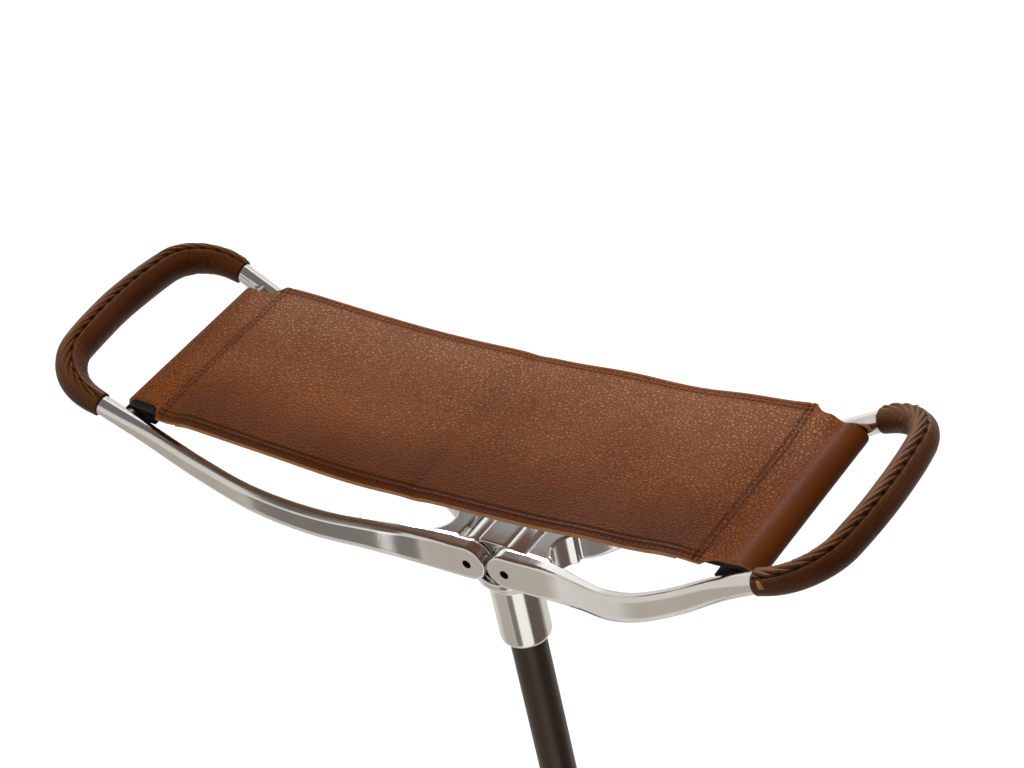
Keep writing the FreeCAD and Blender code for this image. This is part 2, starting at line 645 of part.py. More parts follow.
def spike():
    """Steel spike, with a shoulder under the disc and a shank into the plug."""
    point_top = SPIKE_TIP_Z + SPIKE_POINT
    return turned([(0, SPIKE_TIP_Z), (SPIKE_TIP_DIAMETER / 2, SPIKE_TIP_Z),
                   (SPIKE_DIAMETER / 2, point_top), (SPIKE_DIAMETER / 2, SHOULDER_BOTTOM),
                   (SPIKE_SHOULDER_DIAMETER / 2, SHOULDER_BOTTOM),
                   (SPIKE_SHOULDER_DIAMETER / 2, DISC_BOTTOM),
                   (SPIKE_SHANK_DIAMETER / 2, DISC_BOTTOM),
                   (SPIKE_SHANK_DIAMETER / 2, shank_top()), (0, shank_top())])


def rubber_ferrule():
    """Rubber foot pushed over the spike, with two rings round it."""
    base = FERRULE_BASE_DIAMETER / 2
    top = FERRULE_TOP_DIAMETER / 2
    edge = FERRULE_CHAMFER
    body = turned([(0, 0), (base - edge, 0), (base, edge), (base, FERRULE_WAIST),
                   (top, FERRULE_WAIST + FERRULE_RING_HEIGHT), (top, FERRULE_HEIGHT - edge),
                   (top - edge, FERRULE_HEIGHT), (0, FERRULE_HEIGHT)])
    for low in FERRULE_RINGS:
        diameter = FERRULE_TOP_DIAMETER + 2 * FERRULE_RING_DEPTH
        body = body.fuse(rod_z(diameter, low, low + FERRULE_RING_HEIGHT))
    bore = rod_z(SPIKE_DIAMETER, SPIKE_TIP_Z, FERRULE_HEIGHT)
    return body.cut([washer(), bore])


def washer():
    """Steel washer in the ferrule's floor, under the spike's tip."""
    return rod_z(WASHER_DIAMETER, FERRULE_FLOOR, SPIKE_TIP_Z)


def write(name, shape):
    shape.exportStep("parts/" + name + ".step")
    solids = shape.Solids
    print(name, len(solids), "valid" if shape.isValid() else "INVALID",
          round(sum(s.Volume for s in solids), 1))


def write_pair(name, shape):
    write(name + "_right", shape)
    write(name + "_left", mirrored(shape))


def main():
    write("head_casting", head())
    write("socket_screw", socket_screw())
    write("shaft_tube", shaft_tube())
    write("tip_plug", tip_plug())
    write("foot_rivet", foot_rivet())
    write("ground_disc", ground_disc())
    write("spike", spike())
    write("rubber_ferrule", rubber_ferrule())
    write("ferrule_washer", washer())
    write_pair("pivot_pin", pivot_pin())
    write_pair("frame_casting", frame_casting())
    write_pair("crossbar", crossbar())
    write_pair("handle_cover", handle_cover())
    write("handle_lace_right", handle_lace(LACE_TILT_RIGHT))
    write("handle_lace_left", mirrored(handle_lace(LACE_TILT_LEFT)))
    write_pair("sling_leather", sling_leather())
    write_pair("sling_lining", sling_lining())
    write_pair("sling_webbing", sling_webbing())
    write_pair("sling_stitching", sling_stitching())


main()
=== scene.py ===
"""Looks for the walking stick seat: polished castings, sewn handles and the leather sling."""
import bmesh
import bpy
from math import acos, asin, atan2, cos, exp, floor, hypot, pi, radians, sin, sqrt, tan
from mathutils import Matrix, Vector, noise


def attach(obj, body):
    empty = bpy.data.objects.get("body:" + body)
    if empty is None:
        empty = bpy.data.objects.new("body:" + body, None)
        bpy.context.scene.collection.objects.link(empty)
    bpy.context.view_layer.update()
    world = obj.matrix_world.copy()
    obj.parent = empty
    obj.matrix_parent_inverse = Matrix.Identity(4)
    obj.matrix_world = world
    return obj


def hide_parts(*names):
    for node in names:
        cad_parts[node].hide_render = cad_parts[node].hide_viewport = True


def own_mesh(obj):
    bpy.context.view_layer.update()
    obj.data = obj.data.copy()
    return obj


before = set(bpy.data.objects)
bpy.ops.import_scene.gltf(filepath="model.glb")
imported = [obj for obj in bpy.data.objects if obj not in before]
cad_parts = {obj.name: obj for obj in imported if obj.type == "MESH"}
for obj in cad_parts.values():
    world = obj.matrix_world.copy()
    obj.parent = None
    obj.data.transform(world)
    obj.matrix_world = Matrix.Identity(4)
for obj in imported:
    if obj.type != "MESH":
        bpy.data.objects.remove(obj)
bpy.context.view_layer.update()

MM = 0.001
UP = Vector((0, 0, 1))

# Sizes of the solids, in millimetres
PIVOT_Z = 600.0
PIN_X = 13.0
ARM_MIDDLE_Y = 18.0
ARM_OUTER_Y = 23.0
BOSS_RADIUS = 12.0
ARM_REACH = 216.5
ARM_RISE = 96.4
HANDLE_HALF_WIDTH = 69.5
BAR_RADIUS = 6.0
HANDLE_BOW = 300.0
HANDLE_TILT = radians(20)
CROSSBAR = Vector((201.5, 0, 690.0))
CROSSBAR_RADIUS = 4.0
# The handle's end follows the photograph more closely than the solids' 45 and 28 do
HANDLE_DEPTH = 43.2
HANDLE_CORNER = 33.0
# Shares along the arm: of its reach, spread, rise, hub section and thickness
ARM_STATIONS = [
    (0, 0, 0, 1, 1),
    (0.059, 0, 0, 1, 1),
    (0.133, 0.025, 0.012, 0.95, 0.93),
    (0.206, 0.117, 0.055, 0.79, 0.83),
    (0.280, 0.272, 0.127, 0.63, 0.75),
    (0.428, 0.544, 0.256, 0.49, 0.71),
    (0.575, 0.777, 0.437, 0.38, 0.70),
    (0.722, 0.883, 0.629, 0.28, 0.74),
    (0.870, 0.961, 0.846, 0.15, 0.84),
    (1, 1, 1, 0, 1),
]


def eased(t):
    """0 to 1, slow at both ends, as t goes from 0 to 1."""
    t = clamped(t)
    return t * t * (3 - 2 * t)


def bell(distance, spread):
    """1 at no distance, falling to 0 on both sides."""
    return exp(-(distance / spread) ** 2)


def clamped(t):
    return min(max(t, 0), 1)


def circle(count):
    """Angles spaced evenly round a full turn."""
    return [2 * pi * k / count for k in range(count)]


def shown(name, data):
    """A new object in the scene."""
    made = bpy.data.objects.new(name, data)
    bpy.context.scene.collection.objects.link(made)
    return made


# Camera and studio

VIEW_TURN = 40.04
PHOTO_WIDTH, PHOTO_HEIGHT = 1024, 768
# Where the photograph shows the middle of the two pivots, in its pixels
PIVOTS_SEEN = (506.7, 545.14)


def camera():
    """The photograph's view: turned, raised and rolled about the middle of the two pivots."""
    azimuth, elevation, roll = (radians(a) for a in (VIEW_TURN, 35.62, 12.48))
    distance, focal = 1.6709, 2910.8
    data = bpy.data.cameras.new("view")
    data.lens = focal / PHOTO_WIDTH * data.sensor_width
    aside = (PHOTO_WIDTH / 2 - PIVOTS_SEEN[0]) / focal * distance
    above = (PIVOTS_SEEN[1] - PHOTO_HEIGHT / 2) / focal * distance
    seen = shown("view", data)
    seen.matrix_world = (Matrix.Translation((0, 0, PIVOT_Z * MM))
                         @ Matrix.Rotation(azimuth, 4, "Z")
                         @ Matrix.Rotation(pi / 2 - elevation, 4, "X")
                         @ Matrix.Rotation(-roll, 4, "Z")
                         @ Matrix.Translation((aside, above, distance)))
    bpy.context.scene.camera = seen


def area_light(name, place, target, size, power):
    data = bpy.data.lights.new(name, "AREA")
    data.size = size
    data.energy = power
    lamp = shown(name, data)
    lamp.location = place
    lamp.rotation_mode = "QUATERNION"
    lamp.rotation_quaternion = (Vector(target) - Vector(place)).to_track_quat("-Z", "Y")
    return lamp


def full_colour(shade):
    """A colour with its alpha, from red, green and blue or from one grey value."""
    return (*(shade if isinstance(shade, tuple) else (shade,) * 3), 1)


def dimmed(shade, share):
    return tuple(share * c for c in shade)


class Graph:
    """Short calls for building a node tree."""

    def __init__(self, tree):
        self.nodes, self.links = tree.nodes, tree.links

    def put(self, socket, value):
        if isinstance(value, bpy.types.NodeSocket):
            self.links.new(value, socket)
        else:
            socket.default_value = full_colour(value) if socket.type == "RGBA" else value

    def node(self, kind, output, inputs=None, **settings):
        """One output of a new node, whose inputs take values or the outputs of other nodes."""
        made = self.nodes.new("ShaderNode" + kind)
        for name, value in settings.items():
            setattr(made, name, value)
        for name, value in (inputs or {}).items():
            self.put(made.inputs[name], value)
        return made.outputs[output]

    def mix(self, a, b, part, blend="MIX"):
        return self.node("Mix", 2, {0: part, 6: a, 7: b}, data_type="RGBA", blend_type=blend)

    def toward(self, place, direction, low, high):
        """0 to 1 as a direction turns towards a given one."""
        dot = self.node("VectorMath", "Value", {0: place, 1: direction}, operation="DOT_PRODUCT")
        return self.node("MapRange", "Result", {"Value": dot, "From Min": low, "From Max": high},
                         interpolation_type="SMOOTHSTEP")


def facing(turn, rise):
    """A direction, turned from where the camera stands and raised, both in degrees."""
    azimuth, height = radians(turn + VIEW_TURN - 90), radians(rise)
    return (cos(azimuth) * cos(height), sin(azimuth) * cos(height),
            sin(height))


def surroundings():
    """What polished metal mirrors: a light grey room with dark, grey and white areas round it."""
    shade = (0.68, 0.66, 0.62)
    areas = [
        ((0.46, 0.42, 0.37), facing(-85, -38), 0.83, 0.97),
        ((0.97, 0.96, 0.95), facing(169, 22), 0.77, 0.93),
        ((0.17, 0.165, 0.16), (0, 0, 1), 0.42, 0.58),
        ((1.00, 0.99, 0.97), facing(142, 52), 0.955, 0.985),
        ((0.13, 0.105, 0.09), facing(45, 5), 0.26, 0.57),
        ((1.00, 0.99, 0.96), facing(-8, -36), 0.89, 0.94),
        ((0.20, 0.18, 0.17), facing(-40, -36), 0.972, 0.990),
    ]
    world = bpy.data.worlds.new("studio")
    bpy.context.scene.world = world
    world.use_nodes = True
    g = Graph(world.node_tree)
    place = g.node("TexCoord", "Generated")
    for colour, direction, low, high in areas:
        shade = g.mix(shade, colour, g.toward(place, direction, low, high))
    shade = g.mix(shade, 1.0, g.node("LightPath", "Is Camera Ray"))
    g.links.new(shade, g.nodes["Background"].inputs["Color"])


def studio():
    """Pale floor, bright surroundings and soft lights."""
    scene = bpy.context.scene
    scene.view_settings.view_transform = "Standard"
    surroundings()
    mesh = bpy.data.meshes.new("floor")
    half = 14.0
    corners = [(-half, -half, 0), (half, -half, 0), (half, half, 0), (-half, half, 0)]
    mesh.from_pydata(corners, [], [(0, 1, 2, 3)])
    ground = shown("floor", mesh)
    paint = Recipe("floor_paint")
    paint.set("Base Color", paint.ramp(paint.noise(3.0, 4.0), [(0.3, 0.90), (0.7, 0.93)]))
    paint.set("Roughness", 0.8)
    mesh.materials.append(paint.material)
    ground.visible_glossy = False

    area_light("key", (-1.1, 1.72, 1.55), (0, 0, 0.69), 0.5, 13)
    wash = area_light("wash", (-0.8, 1.2, 5.0), (-0.8, 1.0, 0), 3.0, 220)
    wash.visible_glossy = False


# Materials

class Recipe(Graph):
    """A material built from procedural nodes round one shader."""

    def __init__(self, name):
        self.material = bpy.data.materials.new(name)
        self.material.use_nodes = True
        super().__init__(self.material.node_tree)
        self.shader = self.nodes["Principled BSDF"]
        self.place = self.node("TexCoord", "Object")

    def set(self, name, value):
        self.put(self.shader.inputs[name], value)

    def stretched(self, scale, turn=(0, 0, 0)):
        return self.node("Mapping", 0, {"Vector": self.place, "Scale": scale, "Rotation": turn})

    def noise(self, scale, detail=2.0, rough=0.5, vector=None):
        return self.node("TexNoise", "Fac", {"Vector": vector or self.place, "Scale": scale,
                                             "Detail": detail, "Roughness": rough})

    def cells(self, scale, vector):
        """Distance to the edge of the nearest cell."""
        return self.node("TexVoronoi", "Distance", {"Vector": vector, "Scale": scale},
                         feature="DISTANCE_TO_EDGE")

    def wavy(self, amount, scale):
        """Coordinates shifted a little by noise, so that cells aren't straight."""
        shift = self.node("TexNoise", "Color", {"Vector": self.place, "Scale": scale})
        return self.node("VectorMath", 0, {0: shift, 1: (amount,) * 3, 2: self.place},
                         operation="MULTIPLY_ADD")

    def ramp(self, value, stops):
        made = self.nodes.new("ShaderNodeValToRGB")
        self.links.new(value, made.inputs[0])
        band = made.color_ramp
        while len(band.elements) < len(stops):
            band.elements.new(0.5)
        for element, (place, shade) in zip(band.elements, stops):
            element.position = place
            element.color = full_colour(shade)
        return made.outputs[0]

    def sum(self, a, b, weight=1.0):
        return self.node("Math", 0, {0: b, 1: weight, 2: a}, operation="MULTIPLY_ADD")

    def spread(self, value, low, high):
        return self.node("MapRange", 0, {"Value": value, "To Min": low, "To Max": high})

    def bump(self, height, depth):
        self.set("Normal", self.node("Bump", 0, {"Strength": 1.0, "Distance": depth,
                                                 "Height": height}))


def polished(m, shade, rough, scratches):
    """Polished or brushed metal with faint scratches and handling marks."""
    cloud = m.noise(14.0, 5.0, 0.6)
    m.set("Base Color", m.ramp(cloud, [(0.30, dimmed(shade, 0.90)), (0.62, shade)]))
    m.set("Metallic", 1.0)
    fine = m.noise(900.0, 3.0, 0.7, m.stretched((1.0, 0.12, 0.5), (0.3, 0.5, 0.2)))
    m.set("Roughness", m.spread(m.sum(cloud, fine, 0.6), rough * 0.6, rough * 1.5))
    m.bump(m.sum(fine, m.noise(90.0), 0.8), scratches)


def hide(m, dark, middle, light, grain, depth, rough, gloss):
    """Leather in pebbled cells with dark creases.

    The painted shade mark darkens it, flat takes its grain away, and the painted sheen mark
    lightens the pebbles' tops as a painted highlight.
    """
    worn, flat, pale = (m.node("Attribute", "Fac", attribute_name=name)
                        for name in ("worn", "flat", "pale"))
    bent = m.wavy(0.0012, 260.0)
    pebbles = m.cells(grain, bent)
    small = m.cells(grain * 2.3, bent)
    body = m.ramp(m.noise(11.0, 4.0, 0.6), [(0.30, dark), (0.5, middle), (0.72, light)])
    crease = m.mix(m.ramp(pebbles, [(0.0, 0.30), (0.16, 1.0)]), 1.0, flat)
    tops = m.mix(0.0, m.ramp(pebbles, [(0.16, 0.30), (0.36, 1.0)]), pale)
    # Pebble tops lightened where the sheen mark is high: painted sheen standing in for highlights
    tint = m.mix(m.mix(body, crease, 0.8, "MULTIPLY"), PAINTED_SHEEN_COLOUR, tops)
    # Darkened towards deep brown by the shade mark: painted shade
    m.set("Base Color", m.mix(tint, dimmed(dark, 0.30), worn))
    m.set("Roughness", m.spread(m.sum(pebbles, m.noise(40.0, 3.0), 0.5), rough + 0.14, rough - 0.1))
    m.set("Specular IOR Level", gloss)
    height = m.sum(m.ramp(pebbles, [(0.0, 0.0), (0.12, 0.6), (0.4, 1.0)]),
                   m.ramp(small, [(0.0, 0.0), (0.25, 1.0)]), 0.35)
    height = m.mix(height, 0.7, flat)
    m.bump(m.sum(height, m.noise(1500.0), 0.2), depth)


def fibre(m, dark, light, scale):
    """Cut leather edge or flesh side: matt, fuzzy and streaked."""
    streak = m.noise(scale, 6.0, 0.65, m.stretched((0.25, 1.0, 1.0)))
    m.set("Base Color", m.ramp(streak, [(0.3, dark), (0.7, light)]))
    m.set("Roughness", m.spread(streak, 0.95, 0.7))
    m.set("Sheen Weight", 0.15)
    m.bump(streak, 0.00015)


def woven(m, shade, pitch):
    """Webbing: a plain weave of flat yarns."""
    across, along = (m.node("TexWave", "Fac", {"Vector": m.place, "Scale": 0.5 / pitch,
                                               "Distortion": 0.4}, bands_direction=axis)
                     for axis in ("X", "Y"))
    weave = m.sum(across, along)
    m.set("Base Color", m.ramp(m.sum(m.noise(60.0, 4.0), weave, 0.25),
                               [(0.35, dimmed(shade, 0.5)), (0.9, shade)]))
    m.set("Roughness", 0.85)
    m.bump(weave, 0.0002)


def rubber(m, shade):
    """Matt rubber with a fine grain."""
    m.set("Base Color", m.ramp(m.noise(30.0, 5.0, 0.6), [(0.3, dimmed(shade, 0.75)), (0.7, shade)]))
    m.set("Roughness", m.spread(m.noise(120.0, 3.0), 0.62, 0.85))
    m.bump(m.noise(2200.0), 8e-5)


def anodised(m, shade):
    """Dark anodised tube with faint drawn lines along it."""
    lines = m.noise(1400.0, 3.0, 0.6, m.stretched((1.0, 1.0, 0.02)))
    cloud = m.noise(18.0, 4.0)
    m.set("Base Color", m.ramp(cloud, [(0.3, dimmed(shade, 0.8)), (0.7, shade)]))
    m.set("Metallic", 0.55)
    m.set("Roughness", m.spread(m.sum(cloud, lines, 0.5), 0.26, 0.44))
    m.bump(lines, 3e-5)


studio()
camera()

SILVER = (0.90, 0.885, 0.86)
# Colour of the painted sheen on the seat hide's pebble tops
PAINTED_SHEEN_COLOUR = (0.36, 0.165, 0.082)
FINISHES = {
    "polished_alloy": (polished, SILVER, 0.10, 1e-5),
    "cast_alloy": (polished, (0.62, 0.61, 0.59), 0.34, 8e-5),
    "steel": (polished, (0.55, 0.54, 0.53), 0.24, 4e-5),
    "dark_anodised": (anodised, (0.060, 0.040, 0.028)),
    "rubber": (rubber, (0.018, 0.017, 0.016)),
    "handle_leather": (hide, (0.073, 0.017, 0.002), (0.104, 0.027, 0.004), (0.115, 0.032, 0.007),
                       900.0, 5e-5, 0.36, 0.18),
    # The handle hide again in lighter colours: painted highlight on the raised seam folds
    "lace": (hide, (0.105, 0.034, 0.008), (0.150, 0.052, 0.013), (0.205, 0.078, 0.022),
             1100.0, 6e-5, 0.40, 0.20),
    "seat_leather": (hide, (0.160, 0.035, 0.001), (0.200, 0.046, 0.002), (0.245, 0.060, 0.004),
                     430.0, 0.0007, 0.40, 0.10),
    "raw_leather": (fibre, (0.30, 0.12, 0.035), (0.50, 0.24, 0.085), 700.0),
    "webbing": (woven, (0.014, 0.012, 0.011), 0.0012),
    "suede": (fibre, (0.10, 0.040, 0.020), (0.17, 0.070, 0.036), 500.0),
    # Near-black copy of the metal for hole walls, pins and the right crossbar: painted shade
    "bore": (polished, (0.045, 0.040, 0.036), 0.45, 5e-5),
    "thread": (fibre, (0.030, 0.008, 0.003), (0.075, 0.022, 0.008), 2500.0),
}
LOOKS = {}
for name, (fill, *values) in FINISHES.items():
    recipe = Recipe(name)
    fill(recipe, *values)
    LOOKS[name] = recipe.material


# Mesh making

def piece(name, points, faces, look, smooth=40):
    """A mesh piece from points in millimetres."""
    mesh = bpy.data.meshes.new(name)
    mesh.from_pydata([Vector(p) * MM for p in points], [], faces)
    work = bmesh.new()
    work.from_mesh(mesh)
    bmesh.ops.recalc_face_normals(work, faces=work.faces)
    work.to_mesh(mesh)
    work.free()
    mesh.materials.append(LOOKS[look])
    made = shown(name, mesh)
    shade(made, smooth)
    return made


def shade(made, angle):
    made.data.shade_smooth()
    made.data.set_sharp_from_angle(angle=radians(angle))


def place_piece(made, body, slot, *nodes):
    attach(made, body)
    if nodes:
        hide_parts(*nodes)


def mark(made, **marks):
    """Gives a piece's points the numbers that the hide's material reads."""
    for name, values in marks.items():
        made.data.attributes.new(name, "FLOAT", "POINT").data.foreach_set("value", values)


def rounded(corners, steps=5):
    """An outline with its corners rounded, from (x, y, radius) corners."""
    points = []
    for k, (x, y, radius) in enumerate(corners):
        here = Vector((x, y))
        if radius <= 0:
            points.append(here)
            continue
        before, after = (Vector(corners[(k + j) % len(corners)][:2]) for j in (-1, 1))
        u, v = (before - here).normalized(), (after - here).normalized()
        half = u.angle(v) / 2
        reach = radius / tan(half)
        centre = here + (u + v).normalized() * (radius / sin(half))
        start, end = here + u * reach - centre, here + v * reach - centre
        swing = start.angle_signed(end)
        for turn in (-swing * j / steps for j in range(steps + 1)):
            points.append(centre + Vector((start.x * cos(turn) - start.y * sin(turn),
                                           start.x * sin(turn) + start.y * cos(turn))))
    return points


def lathe(outline, segments):
    """Points and faces of a turned shape about the stick's axis, from (radius, height)."""
    points, rings = [], []
    for r, z in outline:
        count = segments if r > 1e-6 else 1
        rings.append(range(len(points), len(points) + count))
        points += [(r * cos(a), r * sin(a), z) for a in circle(segments)[:count]]
    return points, bands(rings)


def bands(rings):
    """Faces between rings that follow each other, any of which may be a single point."""
    faces = []
    for a, b in zip(rings, rings[1:]):
        for k in range(max(len(a), len(b))):
            low = a if len(a) == 1 else (a[k], a[(k + 1) % len(a)])
            high = b if len(b) == 1 else (b[(k + 1) % len(b)], b[k])
            faces.append((*low, *high))
    return faces


def slab(rows, columns):
    """Faces of a closed sheet, whose points are two grids of rows, one side after the other."""
    wide = columns + 1
    other = (rows + 1) * wide
    faces = []
    for start in range(0, rows * wide, wide):
        for a in range(start, start + columns):
            b = a + other
            faces += [(a, a + wide, a + wide + 1, a + 1), (b, b + 1, b + wide + 1, b + wide)]
        faces += [(a, a + wide, a + wide + other, a + other) for a in (start, start + columns)]
    for start in (0, rows * wide):
        faces += [(a, a + 1, a + 1 + other, a + other) for a in range(start, start + columns)]
    return faces


def sweep(rings):
    """Points and faces of a closed solid through rings of points, with flat ends."""
    points = [p for ring in rings for p in ring]
    size = len(rings[0])
    numbered = [range(k, k + size) for k in range(0, len(points), size)]
    return points, bands(numbered) + [tuple(numbered[0]), tuple(numbered[-1])]


def joined(*shapes):
    """Several closed shapes as one list of points and faces."""
    points, faces = [], []
    for more, some in shapes:
        first = len(points)
        points += list(more)
        faces += [tuple(first + k for k in face) for face in some]
    return points, faces


def turned_to_y(shape, centre):
    """A turned shape with its axis along Y instead, through a centre."""
    points, faces = shape
    return [(centre[0] + p[0], centre[1] + p[2], centre[2] + p[1]) for p in points], faces


def cut(made, cutter):
    """Takes one closed mesh out of another."""
    step = made.modifiers.new("cut", "BOOLEAN")
    step.operation = "DIFFERENCE"
    step.solver = "EXACT"
    step.material_mode = "TRANSFER"
    step.object = cutter
    settle(made)
    bpy.data.objects.remove(cutter)


def settle(made):
    """Applies a piece's modifiers to its mesh."""
    seen = made.evaluated_get(bpy.context.evaluated_depsgraph_get())
    mesh = bpy.data.meshes.new_from_object(seen)
    made.modifiers.clear()
    made.data = mesh


def cast(made, voxel, passes):
    """Merges overlapping shapes into one skin and rounds its edges a little."""
    step = made.modifiers.new("merge", "REMESH")
    step.mode = "VOXEL"
    step.voxel_size = voxel
    step = made.modifiers.new("even", "SMOOTH")
    step.factor = 0.5
    step.iterations = passes
    settle(made)


def mirror(made):
    """Moves a right-hand piece's mesh to the left side."""
    made.data.transform(Matrix.Scale(-1, 4, Vector((1, 0, 0))))
    made.data.flip_normals()


# The frames' castings

def station_at(along):
    """The shares at any place along the arm, on a smooth curve through the stations."""
    last = len(ARM_STATIONS) - 1
    k = max(n for n in range(last) if n == 0 or along > ARM_STATIONS[n][0])

    def slope(n):
        a, b = ARM_STATIONS[max(n - 1, 0)], ARM_STATIONS[min(n + 1, last)]
        return [(y - x) / (b[0] - a[0]) for x, y in zip(a, b)]

    here, there = ARM_STATIONS[k], ARM_STATIONS[k + 1]
    span = there[0] - here[0]
    t = (along - here[0]) / span
    w = (2 * t ** 3 - 3 * t ** 2 + 1, t ** 3 - 2 * t ** 2 + t,
         3 * t ** 2 - 2 * t ** 3, t ** 3 - t ** 2)
    return [w[0] * a + w[1] * span * leave + w[2] * b + w[3] * span * arrive
            for a, leave, b, arrive in zip(here, slope(k), there, slope(k + 1))]


HUB_THICK = ARM_OUTER_Y - ARM_MIDDLE_Y
# Shares cut off the section's corners, at the top, bottom and sides of the hub, and by the bar
HUB_CUTS = (0.10, 0.28, 0.20)
OCTAGON_CUT = 0.586
PIN_HOLE = 2.55
PIN_HOLE_MOUTH = 3.3
PIN_HOLE_CHAMFER = 0.35
# Directions of the handle's plane: away from the seat, and square to the plane
AHEAD = Vector((cos(HANDLE_TILT), 0, sin(HANDLE_TILT)))
NORMAL = Vector((-sin(HANDLE_TILT), 0, cos(HANDLE_TILT)))


def arm_place(along):
    """The arm's middle there, its half depth and half thickness, and its share of hub section."""
    along, flare, rise, hub, slim = station_at(along)
    centre = Vector((PIN_X + along * (ARM_REACH - PIN_X),
                     ARM_MIDDLE_Y + flare * (HANDLE_HALF_WIDTH - ARM_MIDDLE_Y),
                     PIVOT_Z + rise * ARM_RISE))
    depth = hub * BOSS_RADIUS + (1 - hub) * BAR_RADIUS
    thick = slim * (hub * HUB_THICK + (1 - hub) * BAR_RADIUS)
    return centre, depth, thick, hub


def arm_outline(depth, thick, hub):
    """The arm's section: flat outer face, wider bevel below, every corner rounded."""
    top, low, side = (hub * share + (1 - hub) * OCTAGON_CUT for share in HUB_CUTS)
    corners = [(1, 1 - top), (1 - side, 1), (side - 1, 1), (-1, 1 - top),
               (-1, top - 1), (side - 1, -1), (1 - side, -1), (1, low - 1)]
    soft = 0.5 + (BAR_RADIUS - 0.6) * (1 - hub) ** 4
    return rounded([(w * thick, h * depth, soft) for w, h in corners], 4)


def arm_rings():
    """Rings along the right back arm, from the rounded boss end to the handle."""
    rings = []
    end_steps, steps = 14, 110
    for k in range(end_steps, 0, -1):
        back = BOSS_RADIUS * sin(pi / 2 * k / (end_steps + 0.2))
        depth = sqrt(BOSS_RADIUS ** 2 - back ** 2)
        centre = Vector((PIN_X - back, ARM_MIDDLE_Y, PIVOT_Z))
        rings.append((centre, Vector((1, 0, 0)), depth, HUB_THICK, 1.0))
    places = [arm_place(k / steps) for k in range(steps + 1)]
    for k, (centre, depth, thick, hub) in enumerate(places):
        along = places[min(k + 1, steps)][0] - places[max(k - 1, 0)][0]
        if k == steps:
            along = AHEAD
        rings.append((centre, along.normalized(), depth, thick, hub))
    made = []
    for centre, along, depth, thick, hub in rings:
        across = UP.cross(along).normalized()
        up = along.cross(across).normalized()
        scale = min(1.0, depth / 3.0)
        outline = arm_outline(max(depth, 0.6), thick * (0.8 + 0.2 * scale), hub)
        made.append([centre + across * p.x + up * p.y for p in outline])
    return made


def bar_path(step, inside):
    """Places along the handle bar: point, direction outwards, and length so far."""
    end = Vector((ARM_REACH, 0, PIVOT_Z + ARM_RISE))
    bow_centre = HANDLE_DEPTH - HANDLE_BOW
    corner_side = HANDLE_HALF_WIDTH - HANDLE_CORNER
    reach = sqrt((HANDLE_BOW - HANDLE_CORNER) ** 2 - corner_side ** 2)
    corner_out = bow_centre + reach
    turn = atan2(corner_side, reach)
    leg = corner_out - inside
    corner = HANDLE_CORNER * (pi / 2 - turn)
    half = leg + corner + HANDLE_BOW * turn

    def at(s):
        side = -1 if s <= half else 1
        s = min(s, 2 * half - s)
        if s < leg:
            out, across, angle = inside + s, HANDLE_HALF_WIDTH, pi / 2
        else:
            middle, aside, radius = corner_out, corner_side, HANDLE_CORNER
            angle = pi / 2 - (s - leg) / HANDLE_CORNER
            if s >= leg + corner:
                middle, aside, radius = bow_centre, 0, HANDLE_BOW
                angle = turn - (s - leg - corner) / HANDLE_BOW
            out, across = middle + radius * cos(angle), aside + radius * sin(angle)
        return (end + AHEAD * out + Vector((0, side * across, 0)),
                AHEAD * cos(angle) + Vector((0, side * sin(angle), 0)))

    count = round(2 * half / step)
    return [(*at(2 * half * k / count), 2 * half * k / count) for k in range(count + 1)]


def bar_rings():
    """Rings along the bare handle bar, from inside one arm to inside the other."""
    return [[place + (outward * cos(a) + NORMAL * sin(a)) * BAR_RADIUS for a in circle(64)]
            for place, outward, _ in bar_path(1.5, -1.0)]


def web_shape():
    """The cross web: hollowed towards the head by the swing, and away from it by a wide U."""
    inner, end = 14.2, 34.5
    hollow, half = 12.5, 10.5
    rows, columns = 14, 36
    near, far = [], []
    for i in range(rows + 1):
        z = -half + 2 * half * i / rows
        for j in range(columns + 1):
            y = -ARM_MIDDLE_Y + 2 * ARM_MIDDLE_Y * j / columns
            reach = sqrt(max(hollow ** 2 - y ** 2, 0))
            near.append((PIN_X + sqrt(inner ** 2 - z ** 2), y, PIVOT_Z + z))
            far.append((min(end + hollow - reach, end + hollow / 2), y, PIVOT_Z + z))
    return near + far, slab(rows, columns)


def frame_casting():
    """The right frame as one smooth casting, with its two pin holes."""
    back = arm_rings()
    front = [[Vector((p.x, -p.y, p.z)) for p in ring] for ring in back]
    shapes = (sweep(back), sweep(front), web_shape(), sweep(bar_rings()))
    made = piece("casting", *joined(*shapes), "polished_alloy")
    cast(made, 0.0006, 10)
    mouth = ARM_OUTER_Y + PIN_HOLE_CHAMFER
    hole = [(0, 0), (PIN_HOLE, 0), (PIN_HOLE, ARM_OUTER_Y - PIN_HOLE_CHAMFER),
            (PIN_HOLE_MOUTH, mouth), (0, mouth)]
    points, faces = turned_to_y(lathe(hole, 40), (PIN_X, 0, PIVOT_Z))
    # The cutter's near-black finish passes to the hole walls: painted shade
    for side in (-1, 1):
        cut(made, piece("cutter", [(x, side * y, z) for x, y, z in points], faces, "bore"))
    shade(made, 50)
    return made


right = frame_casting()
left = shown("left", right.data.copy())
mirror(left)
for made, side in ((right, "right"), (left, "left")):
    made.name = made.data.name = "frame_casting_polished_" + side
    place_piece(made, "frame_" + side, "polished_alloy", "frame_casting_" + side)


# The head casting

HEAD_HALF = 12.6
RIB_HALF = 9.0
RIB_TOP = 612.0
LOBE_RADIUS = 11.3
FLANGE_TOP = 587.5
FLANGE_BOTTOM = 583.0
FLANGE_RADIUS = 21.0
COLLAR_TOP = 576.0
COLLAR_BOTTOM = 532.0
COLLAR_RADIUS = 15.5
SOCKET_RADIUS = 11.12
TUBE_TOP = 578.0
SCREW_RADIUS = 2.5
SCREW_TIP = 8.0
SCREW_Z = 550.0


